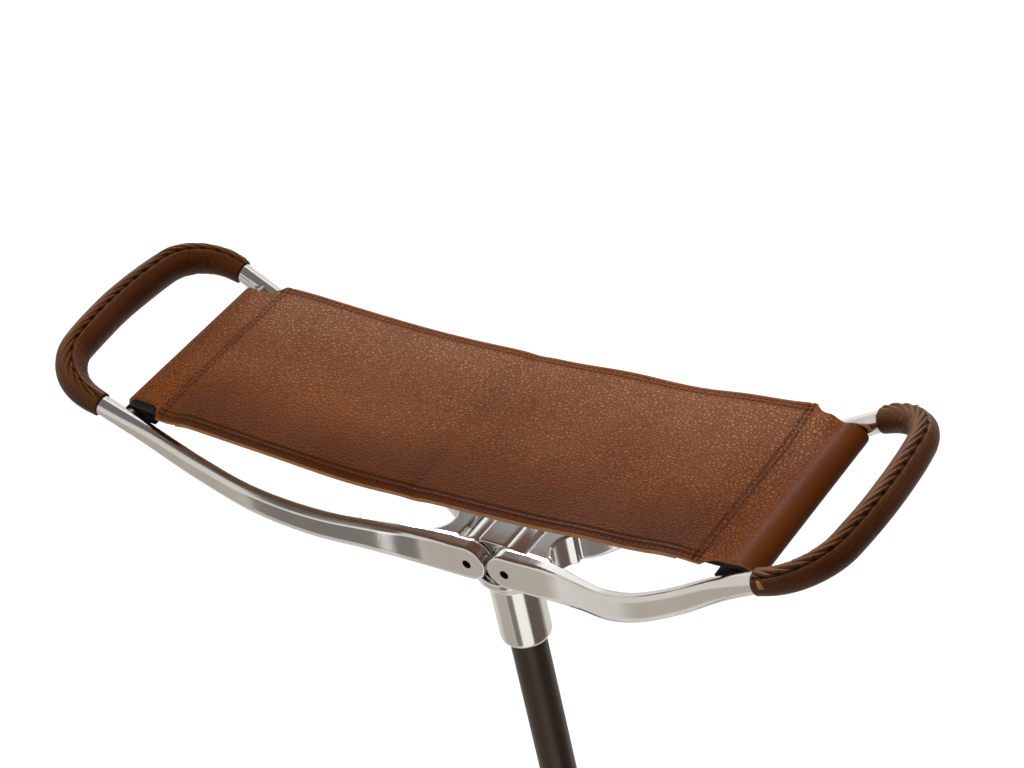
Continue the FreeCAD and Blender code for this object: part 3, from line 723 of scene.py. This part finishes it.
def soft_box(x, y, low, high, corner, edge):
    """A block with rounded upright corners and a smaller rounding round its top."""
    turns = [pi / 2 * k / 5 for k in range(6)]
    levels = [(low, 0.0)] + [(high - edge * (1 - sin(t)), edge * (1 - cos(t)))
                             for t in turns]
    rings = []
    for z, inset in levels:
        outline = rounded([(u * (x - inset), v * (y - inset), corner)
                           for u, v in ((1, 1), (-1, 1), (-1, -1), (1, -1))], 6)
        rings.append([Vector((p.x, p.y, z)) for p in outline])
    return sweep(rings)


def lobe(x):
    """The head's lobe round a pivot pin, with rounded edges."""
    outline = rounded([(0, -HEAD_HALF, 0), (LOBE_RADIUS, -HEAD_HALF, 0.7),
                       (LOBE_RADIUS, HEAD_HALF, 0.7), (0, HEAD_HALF, 0)])
    return turned_to_y(lathe(outline, 80), (x, 0, PIVOT_Z))


def head_casting():
    """Rib, lobes, stop flange and collar as one smooth casting with its socket and screw hole."""
    turned = lathe(rounded([
        (0, FLANGE_TOP, 0), (FLANGE_RADIUS, FLANGE_TOP, 0.9), (FLANGE_RADIUS, FLANGE_BOTTOM, 0.9),
        (COLLAR_RADIUS, COLLAR_TOP, 2.0), (COLLAR_RADIUS, COLLAR_BOTTOM, 3.5),
        (SOCKET_RADIUS, COLLAR_BOTTOM, 0.3), (SOCKET_RADIUS, TUBE_TOP, 0), (0, TUBE_TOP, 0)]), 96)
    cheek = soft_box(PIN_X, HEAD_HALF, FLANGE_TOP - 1, PIVOT_Z, 0.5, 0.3)
    rib = soft_box(RIB_HALF, HEAD_HALF, FLANGE_BOTTOM + 0.5, RIB_TOP, 2.0, 0.8)
    made = piece("head_casting_polished", *joined(turned, cheek, rib, lobe(PIN_X), lobe(-PIN_X)),
                 "polished_alloy")
    cast(made, 0.0005, 4)
    hole = lathe([(0, SCREW_TIP), (SCREW_RADIUS, SCREW_TIP), (SCREW_RADIUS, COLLAR_RADIUS + 1),
                  (0, COLLAR_RADIUS + 1)], 40)
    # The cutter's near-black finish passes to the hole wall: painted shade
    cut(made, piece("cutter", *turned_to_y(hole, (0, 0, SCREW_Z)), "bore"))
    shade(made, 50)
    return made


place_piece(head_casting(), "stick", "polished_alloy", "head_casting")


# The leather handles

COVER_START = 1.0
COVER_BORE = 6.1
COVER_END_RADIUS = 7.2
COVER_RADII = {"right": 8.7, "left": 10.4}
# Length over which a cover swells from its ends
COVER_SWELL = 80.0
CREASE_PITCH = 4.3
# How far from its ends the cover goes round the corners
BEND_PLACE = 30.0
BEND_LENGTH = 15.0
# Where the line of holes runs round the cover, and the way in which the folds leave it
SEAMS = {"right": (radians(39), -1), "left": (0.0, 1)}
# The seam's strip, from the line of holes: its edges, its mesh, and how deep its underside is
STRIP_LOW = -3.4
STRIP_HIGH = 14.4
STRIP_STEP = 0.36
STRIP_INSET = 0.6
STRIP_UNDER = -0.85
FOLD_PITCH = 8.6
FOLD_SLANT = 2.2
FOLD_HEIGHT = 1.7
FOLD_REACH = 8.2
# How much further the folds reach in the second half of the cover, past this place
FOLD_SPREAD = {"right": 1.0, "left": 6.2}
FOLD_SPREAD_PLACE = 132.0
TIP_PLACE = 6.4
TIP_ANGLE = 64.0
LOOP = bar_path(1.0, COVER_START)
LOOP_LENGTH = LOOP[-1][2]


def loop_place(s):
    """Point and outward direction at a length along the cover."""
    k = clamped(s / LOOP_LENGTH) * (len(LOOP) - 1)
    low = min(int(k), len(LOOP) - 2)
    a, b = LOOP[low], LOOP[low + 1]
    return a[0].lerp(b[0], k - low), a[1].lerp(b[1], k - low).normalized()


def cover_radius(side, s):
    swell = sin(pi / 2 * clamped(min(s, LOOP_LENGTH - s) / COVER_SWELL))
    return COVER_END_RADIUS + (COVER_RADII[side] - COVER_END_RADIUS) * swell


def bend(s):
    """1 in the middle of either corner, 0 on the straight stretches."""
    return max(bell(s - c, BEND_LENGTH) for c in (BEND_PLACE, LOOP_LENGTH - BEND_PLACE))


def on_cover(side, s, angle, height):
    """A point above the cover; the angle grows from the loop's upper side outwards."""
    place, outward = loop_place(s)
    way = NORMAL * cos(angle) + outward * sin(angle)
    return place + way * (cover_radius(side, s) + height)


def across_seam(side, angle):
    """Distance from the line of holes, growing to the side of the folds."""
    line, way = SEAMS[side]
    return way * ((angle - line + pi) % (2 * pi) - pi) * COVER_RADII[side]


def cover_relief(side, s, angle):
    """The hide's own shape: slow unevenness, and creases inside the bends."""
    seed = len(side)
    place = Vector((s * 0.03, cos(angle), sin(angle) + seed))
    rise = 0.22 * noise.noise(place * 1.4)
    inside = max(0.25 - sin(angle), 0) ** 1.2
    phase = s / CREASE_PITCH + 1.6 * noise.noise(Vector((s * 0.15, angle * 0.8, seed)))
    fold = abs(sin(pi * phase)) ** 0.6 - 0.7
    return rise + 0.7 * fold * inside * bend(s)


def handle_cover(side):
    """A sleeve of hide sewn round the bar, open at both ends, and sunk under its seam."""
    around, steps, bore_steps = 112, int(LOOP_LENGTH), 40
    # Places along the cover and how far its skin is drawn in there, which the bore leaves out
    lip = [(0.15, -1.0), (0.0, -0.6), (0.15, -0.25), (0.6, 0.0)]
    profile = [(0.5, None)] + lip
    profile += [(LOOP_LENGTH * k / steps, 0.0) for k in range(2, steps - 1)]
    profile += [(LOOP_LENGTH - s, inset) for s, inset in reversed(lip)]
    profile += [(LOOP_LENGTH - 0.5, None)]
    profile += [(LOOP_LENGTH * k / bore_steps, None) for k in range(bore_steps - 1, 0, -1)]
    points, worn = [], []
    for s, inset in profile:
        for angle in circle(around):
            if inset is None:
                points.append(on_cover(side, s, angle, COVER_BORE - cover_radius(side, s)))
                # Inside of the sleeve darkened: painted shade
                worn.append(0.6)
                continue
            lift = cover_relief(side, s, angle)
            b = across_seam(side, angle)
            under = eased((b - STRIP_LOW) / 0.6 - 1) * eased((STRIP_HIGH - b) / 0.6 - 1)
            under *= eased((min(s, LOOP_LENGTH - s) - STRIP_INSET) / 1.4)
            points.append(on_cover(side, s, angle, inset + lift - 1.05 * under))
            # Painted shade along the seam strip's lower edge, at the drawn-in ends and in the
            # relief's dips
            dark = 0.35 * bell(b - STRIP_LOW, 0.7) + 0.4 * (inset < -0.1)
            worn.append(min(dark + max(-lift, 0) * 0.8, 1.0))
    rings = [range(k, k + around) for k in range(0, len(points), around)]
    made = piece("handle_cover_sewn_" + side, points, bands(rings + rings[:1]),
                 "handle_leather", 60)
    mark(made, worn=worn)
    return made


def seam_relief(side, s, b):
    """Height and painted shade of the seam: gathered folds, a line of holes and a thin sewn lip."""
    seed = len(side)
    ends = eased(min(s, LOOP_LENGTH - s) / 3)
    drift = noise.noise(Vector((s * 0.04, b * 0.12, seed)))
    phase = (s + FOLD_SLANT * b) / FOLD_PITCH + 0.22 * drift
    count = floor(phase)
    size = 1 + 0.22 * noise.noise(Vector((count * 3.7, 0.5, seed)))
    crest = sin(pi * (phase - count) ** 1.15) ** 0.7
    reach = FOLD_REACH + FOLD_SPREAD[side] * eased((s - FOLD_SPREAD_PLACE) / 16)
    hold = 0.5 * (reach - FOLD_REACH)
    rise = eased((b + 0.3) / 1.5) * (1 - eased((b - hold) / (reach - hold)) ** 1.2)
    height = rise * (FOLD_HEIGHT * size * crest - 0.35)
    # Painted shade in the valleys between folds, by the line of holes and past the folds' reach
    dark = 1.2 * rise * (1 - crest) + 0.42 * eased(1 - b / 0.8) + 0.4 * eased((b - reach + 2) / 3)
    hole_at = FOLD_PITCH * (round(s / FOLD_PITCH + 0.22 * drift) - 0.22 * drift)
    off = hypot((s - hole_at) / 1.6, (b - 0.35) / 1.1)
    hole = exp(-off ** 4)
    channel = bell(b + 0.2, 0.55)
    height -= 0.75 * hole + 0.30 * channel
    # Holes and channel darkened: painted shade
    dark += 0.9 * hole + 0.35 * channel
    lip = bell(b + 1.3, 0.75)
    dot = exp(-(hypot(s - hole_at - 1.2, (b + 2.0)) / 0.7) ** 4)
    height += 0.42 * lip + 0.16 * dot
    # The raised lip and dots lose their painted shade, standing in for their highlights
    return max(height * ends, -0.72), clamped(dark - 0.3 * lip - 0.4 * dot)


def handle_lace(side):
    """The cover's seam as a strip laid over it, from the lip to the ends of the folds."""
    line, way = SEAMS[side]
    length, height = LOOP_LENGTH - 2 * STRIP_INSET, STRIP_HIGH - STRIP_LOW
    rows, columns = round(length / STRIP_STEP), round(height / STRIP_STEP)
    top = list(range(columns + 1))
    under = [k for k in top if k % 6 == 0 or k == columns]
    points, worn, faces = [], [], []
    for listed in (top, under):
        for i in range(rows + 1):
            s = STRIP_INSET + length * i / rows
            for k in listed:
                b = STRIP_LOW + height * k / columns
                angle = line + way * b / COVER_RADII[side]
                # Underside points fully darkened and top points given the seam's darkening: painted
                # shade
                rise, dark = STRIP_UNDER, 1.0
                if listed is top:
                    rise, dark = seam_relief(side, s, b)
                    rise += 0.06 if k in (0, columns) else 0.10
                points.append(on_cover(side, s, angle, cover_relief(side, s, angle) + rise))
                worn.append(dark)
    wide, low_wide = len(top), len(under)
    starts = [(i * wide, (rows + 1) * wide + i * low_wide) for i in range(rows + 1)]
    for a, b in starts[:-1]:
        faces += [(k, k + 1, k + wide + 1, k + wide) for k in range(a, a + columns)]
        faces += [(k, k + low_wide, k + low_wide + 1, k + 1) for k in range(b, b + low_wide - 1)]
        for p, q in ((a, b), (a + columns, b + low_wide - 1)):
            faces.append((p, p + wide, q + low_wide, q))
    for a, b in (starts[0], starts[-1]):
        faces.append((*range(a, a + wide), *range(b + low_wide - 1, b - 1, -1)))
    made = piece("handle_lace_sewn_" + side, points, faces, "lace", 60)
    mark(made, worn=worn)
    return made


def raw_tip():
    """A scrap of bare hide that shows at the front end of the right cover's seam."""
    steps, turns = 6, 10
    points = []
    for sunk in (True, False):
        for u in (2 * i / steps - 1 for i in range(steps + 1)):
            for v in (2 * k / turns - 1 for k in range(turns + 1)):
                rise = -0.5 if sunk else 0.75 * (1 - u * u) * (1 - v ** 4)
                place, angle = TIP_PLACE + 1.5 * u + 0.8 * v, radians(TIP_ANGLE + 20 * v)
                points.append(on_cover("right", place, angle, rise))
    return piece("handle_tip_right", points, slab(steps, turns), "raw_leather", 60)


for side in ("right", "left"):
    for made, slot in ((handle_cover(side), "handle_leather"), (handle_lace(side), "lace")):
        if side == "left":
            mirror(made)
        place_piece(made, "frame_" + side, slot, made.name.replace("_sewn", ""))
place_piece(raw_tip(), "frame_right", "raw_leather")


# The sling

WAYS = {"right": 1, "left": -1}
SEAT_HALF_WIDTH = 66.3
SEAT_CORNER = 180.0
SEAT_TOP = 686.5
NECK = 189.0
LOOP_HALF_WIDTH = {"right": 61.0, "left": 57.0}
# Share by which the loop stands out round the crossbar
LOOP_SLACK = {"right": 0.45, "left": 0.0}
BAR_CLEARANCE = 0.3
RETURN_TAPER = 6.0
WEBBING_HALF_WIDTH = 62.7
# Share of its width that the webbing reaches behind the middle
WEBBING_BACK = {"right": 1.0, "left": 0.89}
LEATHER = 2.0
LINING = 1.2
WEBBING = 1.15
SKIN_GAP = 0.05
# Depths below the panel's upper side
WEBBING_TOP = LEATHER + SKIN_GAP
WEBBING_LOW = WEBBING_TOP + WEBBING
BACK_TOP = WEBBING_LOW + SKIN_GAP
BACK_LOW = BACK_TOP + WEBBING
RETURN_TOP = BACK_LOW + SKIN_GAP
TAIL_TOP = 10.3
TAIL_LOW = 11.2
# Places along the sling, from the crease in its middle to the crossbar
CREASE_GAP = 0.02
WEBBING_END = 163.5
LINING_END = 167.0
LAP_END = 168.0
HIDE_END = 171.0
LAP_START = 178.0
TAIL_START = 185.5
TAIL_LENGTH = 11.7
# Share of the tail that climbs to the webbing's band
TAIL_CLIMB = 0.55
FOLD_START = 192.0
# How much the fold over the crossbar is darkened by painted shade, flattened, and cleared of
# painted sheen
FOLD_SHADE = {"right": 0.66, "left": 0.34}
FOLD_FLAT = {"right": 0.9, "left": 0.35}
FOLD_NO_SHEEN = {"right": 1.0, "left": 0.4}
STITCH_ROWS = (63.3, 60.3)
CROSS_ROWS = (180.4, 177.4)
STITCH_STEP = 3.3
STITCH_LENGTH = 2.5
THREAD = 0.62
# Along a stitch: the share of its length, of its thickness, and its height over the hide
STITCH_PROFILE = [(0.0, 0.35, -0.34), (0.12, 0.8, -0.10), (0.3, 1.0, 0.06), (0.5, 1.0, 0.10),
                  (0.7, 1.0, 0.06), (0.88, 0.8, -0.10), (1.0, 0.35, -0.34)]
# Where the long edges rise or sag: how far, at which place and over which length
BACK_WAVES = [(1.2, -183, 18), (0.8, -12, 28), (2.8, 62, 36), (3.0, 143, 30), (5.6, 186, 20)]
FRONT_WAVES = [(-1.5, -172, 9), (-2.6, -45, 40), (1.0, 112, 22), (1.4, 168, 20)]


class Curve:
    """The sling seen from the front: a sagging arc that meets the loop round the crossbar."""

    def __init__(self):
        self.loop = CROSSBAR_RADIUS + BAR_CLEARANCE + WEBBING + SKIN_GAP + LEATHER
        drop = SEAT_TOP - CROSSBAR.z
        self.radius = (CROSSBAR.x ** 2 + drop ** 2 - self.loop ** 2) / (2 * (self.loop - drop))
        self.centre = Vector((0, 0, SEAT_TOP + self.radius))
        self.meet = asin(CROSSBAR.x / (self.radius + self.loop))
        self.meet_x = self.radius * sin(self.meet)

    def on_arc(self, depth, x):
        r, angle = self.radius + depth, asin(x / self.radius)
        return self.centre + Vector((r * sin(angle), 0, -r * cos(angle)))

    def on_loop(self, depth, turn):
        r, angle = self.loop - depth, turn - self.meet
        return CROSSBAR + Vector((r * sin(angle), 0, r * cos(angle)))

    def leaving(self, depth, end):
        r, back = self.loop - depth, end - CROSSBAR
        spread = acos(r / back.length)
        return 2 * pi + atan2(back.x, back.z) - spread + self.meet


CURVE = Curve()


def spaced(start, end, step, fine):
    """Numbers from start to end, closer together near the given places."""
    near, small = 2.2, 0.35
    places, at = [start], start
    while end - at > 1e-6:
        at += small if any(abs(at + small - f) < near for f in fine) else step
        places.append(at)
    places[-1] = end
    if end - places[-2] < 0.3 * small:
        del places[-2]
    return places


def layer_path(outer, inner, start, turn_back=None, end=0):
    """A layer seen from the front: outer point, inner point and reach x at each step.

    turn_back has the depths of the upper and lower side of its end under the panel.
    """
    path = [(CURVE.on_arc(outer, x), CURVE.on_arc(inner, x), x)
            for x in spaced(start, CURVE.meet_x, 1.6, (*CROSS_ROWS, 0.0))]
    if turn_back is None:
        return path

    def lap(x):
        return CURVE.on_arc(turn_back[1], x), CURVE.on_arc(turn_back[0], x)

    turn_steps, steps = 24, 8
    lap_outer, lap_inner = lap(LAP_START)
    turns = CURVE.leaving(outer, lap_outer), CURVE.leaving(inner, lap_inner)
    for k in range(1, turn_steps + 1):
        path.append((CURVE.on_loop(outer, turns[0] * k / turn_steps),
                     CURVE.on_loop(inner, turns[1] * k / turn_steps), CROSSBAR.x))
    a, b, _ = path[-1]
    for k in range(1, steps + 1):
        path.append((a.lerp(lap_outer, k / steps), b.lerp(lap_inner, k / steps),
                     CROSSBAR.x + RETURN_TAPER * min(k / 3, 1)))
    for k in range(1, steps + 1):
        x = LAP_START + (end - LAP_START) * k / steps
        path.append((*lap(x), CROSSBAR.x + RETURN_TAPER))
    return path


def tail_path():
    """The webbing's sewn tail: it climbs from the loop's underside and then follows the band."""
    path, steps = [], 12
    top = CURVE.on_arc(BACK_TOP, TAIL_START + TAIL_LENGTH * TAIL_CLIMB)
    for along in (k / steps for k in range(steps + 1)):
        x = TAIL_START + TAIL_LENGTH * along
        high = CURVE.on_arc(BACK_TOP, x)
        if along <= TAIL_CLIMB:
            high = CURVE.on_arc(TAIL_TOP, TAIL_START).lerp(top, 0.97 * along / TAIL_CLIMB)
        path.append((high, CURVE.on_arc(TAIL_LOW, x), x))
    return path


def half_width(side, x):
    """The panel's half width, cut in with a hollow curve to the narrower loop."""
    t = clamped((x - SEAT_CORNER - 1.0) / (NECK - SEAT_CORNER))
    loop = LOOP_HALF_WIDTH[side]
    return loop + (SEAT_HALF_WIDTH - loop) * (1 - t) ** 2.4 - max(x - CROSSBAR.x, 0)


def drape(x, y):
    """How far every layer lies above the plain arc, over the whole sling from left to right."""
    loose = clamped((176 - abs(x)) / 60)
    free = eased((CROSSBAR.x - 3 - abs(x)) / 45)
    edge = max(abs(y) - 48, 0) / 18
    crown = (3.6 + 2.0 * (1 - (y / SEAT_HALF_WIDTH) ** 2)) * free
    crown -= 1.1 * edge ** 2 * clamped((CROSSBAR.x - 4 - abs(x)) / 20)
    waves = BACK_WAVES if y > 0 else FRONT_WAVES
    lift = sum(height * bell(x - middle, spread) for height, middle, spread in waves)
    lift *= clamped((abs(y) - 22) / 44) ** 2 * eased((199 - abs(x)) / 9)
    wave = 0.7 * noise.noise(Vector((x * 0.012 + 3, y * 0.02, 1.5))) * loose
    return crown + lift + wave - 0.8 * bell(x, 7)


def groove(x, y):
    """The rows of stitching pull the hide down, a little more at each stitch."""
    deep = 0.0
    for rows, pull, across, along in ((STITCH_ROWS, 0.42, y, x), (CROSS_ROWS, 0.38, x, y)):
        if rows is STITCH_ROWS and abs(x) >= CROSS_ROWS[0] + 1:
            continue
        pull *= 0.8 + 0.2 * cos(2 * pi * along / STITCH_STEP)
        deep += sum(pull * bell(abs(across) - row, 0.75) for row in rows)
    return -deep


def shifted(point, amount):
    """Moves a point square to the arc, upwards for a positive amount."""
    away = (CURVE.centre - Vector((point.x, 0, point.z))).normalized()
    return point + away * amount


def layer(name, side, path, width, looks, sewn=False, back=1.0):
    """A closed sheet along a path, as wide at each step as the width function says.

    looks are those of its outer side, inner side and rims. A sewn one is the hide, with its
    grooves and marks. back narrows it behind the middle.
    """
    edge = width(0)
    fine = STITCH_ROWS + tuple(-r for r in STITCH_ROWS) if sewn else ()
    shares = [y / edge for y in spaced(-edge, edge, 2.4, fine)]
    last = len(shares) - 1
    points, marks = [], []
    for skin in (0, 1):
        for *places, x in path:
            base = places[skin].copy()
            panel = x < CROSSBAR.x
            base.x += LOOP_SLACK[side] * max(base.x - CROSSBAR.x, 0)
            for k, share in enumerate(shares):
                y = share * width(x) * (back if share > 0 else 1)
                lift = drape(WAYS[side] * base.x, y) if base.x < CROSSBAR.x else 0.0
                if sewn and skin == 0 and panel:
                    lift += groove(x, y) - (0.35 if k in (0, last) else 0.0)
                points.append(shifted(Vector((base.x, y, base.z)), lift))
                if sewn:
                    worn, flat, pale = hide_marks(side, x, y, base)
                    # Rims on the loop's underside take full darkening: painted shade under the loop
                    under = not panel and k in (0, last) and base.z < CROSSBAR.z
                    marks.append((1.0 if under else worn, flat, pale))
    made = piece(name, points, slab(len(path) - 1, last), looks[0], 35)
    for look in looks[1:]:
        made.data.materials.append(LOOKS[look])
    kinds = []
    for outer, _, x in path[:-1]:
        rim = 2 if x < CROSSBAR.x or outer.z > CROSSBAR.z else 0
        kinds += [0, 1] * last + [rim, rim]
    made.data.polygons.foreach_set("material_index", kinds + [2] * (2 * last))
    if sewn:
        mark(made, **dict(zip(("worn", "flat", "pale"), zip(*marks))))
    return made


def hide_marks(side, x, y, base):
    """How much painted shade, flatness and painted sheen the hide has at a point, by its edges,
    seams and folds.
    """
    near = min(abs(abs(y) - r) for r in STITCH_ROWS)
    crease = bell(x, 9) * (0.6 + 0.4 * noise.noise(Vector((x, y, 4)) * 0.08))
    front = eased((-y - 8) / 44) * eased((FOLD_START - base.x) / 30)
    fold = eased((base.x - FOLD_START) / 9)
    # Painted shade: darker along the stitch grooves, in the middle crease, on the fold over the
    # crossbar and towards the front edge
    worn = 0.40 * bell(min(abs(x - r) for r in CROSS_ROWS), 1.3) + 0.16 * crease
    worn += FOLD_SHADE[side] * fold + 0.70 * front
    if x < CROSS_ROWS[0]:
        worn += 0.40 * bell(near, 1.3)
    seam = max(bell(near, 1.6), eased(abs(y) - STITCH_ROWS[0]))
    flat = FOLD_FLAT[side] * fold + 0.7 * seam + 0.45 * front
    # Painted sheen: lighter pebble tops towards the back, fading to the front, none past the
    # stitching or on the fold
    pale = 0.34 + 0.66 * eased((y - 2) / 58) - 0.34 * eased((-y - 4) / 40)
    pale += 0.18 * noise.noise(Vector((base.x * WAYS[side] * 0.02, y * 0.03, 7.5)))
    pale = max(pale, 0) * (1 - 0.85 * eased((abs(y) - STITCH_ROWS[1] + 2.0) / 1.5))
    pale *= 1 - FOLD_NO_SHEEN[side] * eased((base.x - FOLD_START + 1) / 9)
    return min(worn, 1.0), min(flat, 1.0), pale


def stitch(start, end, lift):
    """One stitch: a short thread that dips into the hide at both ends."""
    rings, along = [], (end - start).normalized()
    across = along.cross(lift).normalized()
    for share, size, height in STITCH_PROFILE:
        centre = start.lerp(end, share) + lift * height
        rings.append([centre + (across * cos(a) + lift * sin(a)) * THREAD / 2 * size
                      for a in circle(8)])
    return sweep(rings)


def stitches(name, way):
    """Two rows along each long edge of one half and two across its end."""
    shapes = []

    def seat(x, y):
        return shifted(CURVE.on_arc(0, x) + Vector((0, y, 0)),
                       drape(way * x, y) + groove(x, y) + 0.12)

    def sew(at, end, place):
        while at + STITCH_LENGTH < end:
            first, second = seat(*place(at)), seat(*place(at + STITCH_LENGTH))
            lift = (CURVE.centre - Vector((first.x, 0, first.z))).normalized()
            shapes.append(stitch(first, second, lift))
            at += STITCH_STEP

    for y in (side * row for row in STITCH_ROWS for side in (-1, 1)):
        sew(CREASE_GAP + (STITCH_STEP - STITCH_LENGTH) / 2, CROSS_ROWS[0], lambda x: (x, y))
    for x in CROSS_ROWS:
        sew(3.6 - SEAT_HALF_WIDTH, SEAT_HALF_WIDTH - 3.0, lambda y: (x, y))
    return piece(name, *joined(*shapes), "thread", 60)


def flat_area(path, width):
    """The cut size of a layer: its length along the middle, and its area."""
    length, area = 0.0, 0.0
    for (a, b, x), (c, d, x2) in zip(path, path[1:]):
        step = ((a + b) / 2 - (c + d) / 2).length
        length += step
        area += step * (width(x) + width(x2))
    return length * MM, area * MM * MM


def sling(side):
    """One half of the sling, layer by layer, made on the right and turned over for the left."""
    way = WAYS[side]
    hide_path = layer_path(0, LEATHER, CREASE_GAP, (RETURN_TOP, RETURN_TOP + LEATHER), HIDE_END)
    lining_path = [step for step in layer_path(WEBBING_TOP, WEBBING_TOP + LINING, CREASE_GAP)
                   if step[2] < LINING_END]
    webbing_path = layer_path(WEBBING_TOP, WEBBING_LOW, LAP_END, (BACK_TOP, BACK_LOW), WEBBING_END)
    webbing = {"looks": ("webbing",) * 3, "back": WEBBING_BACK[side]}
    layers = [
        ("leather", hide_path, lambda x: half_width(side, x),
         {"looks": ("seat_leather", "raw_leather", "raw_leather"), "sewn": True}),
        ("lining", lining_path, lambda x: SEAT_HALF_WIDTH - 0.3,
         {"looks": ("raw_leather", "suede", "raw_leather")}),
        ("webbing", webbing_path, lambda x: WEBBING_HALF_WIDTH - max(x - CROSSBAR.x, 0), webbing),
        ("stitching", None, None, {"looks": ("thread",)}),
        ("webbing_tail", tail_path(), lambda x: WEBBING_HALF_WIDTH - 0.4, webbing),
    ]
    for stem, path, width, dress in layers:
        name = "sling_" + stem + "_sewn_" + side
        made = layer(name, side, path, width, **dress) if path else stitches(name, way)
        if way < 0:
            mirror(made)
        replaced = () if stem == "webbing_tail" else (name.replace("_sewn", ""),)
        place_piece(made, "sling_" + side, dress["looks"][0], *replaced)
        if path and replaced:
            length, area = flat_area(path, width)
            2 * width(0) * MM
        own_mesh(made)


sling("right")
sling("left")


# The solids that show as they are, each with its own finish

CAD_LOOKS = {
    "steel": ["socket_screw", "foot_rivet", "spike", "ferrule_washer", "crossbar_left"],
    "cast_alloy": ["tip_plug", "ground_disc"],
    "dark_anodised": ["shaft_tube"],
    "rubber": ["rubber_ferrule"],
    # Near-black finish on the pins and the right crossbar: painted shade
    "bore": ["pivot_pin_left", "pivot_pin_right", "crossbar_right"],
}
for look, nodes in CAD_LOOKS.items():
    for materials in (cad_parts[node].data.materials for node in nodes):
        materials.clear()
        materials.append(LOOKS[look])
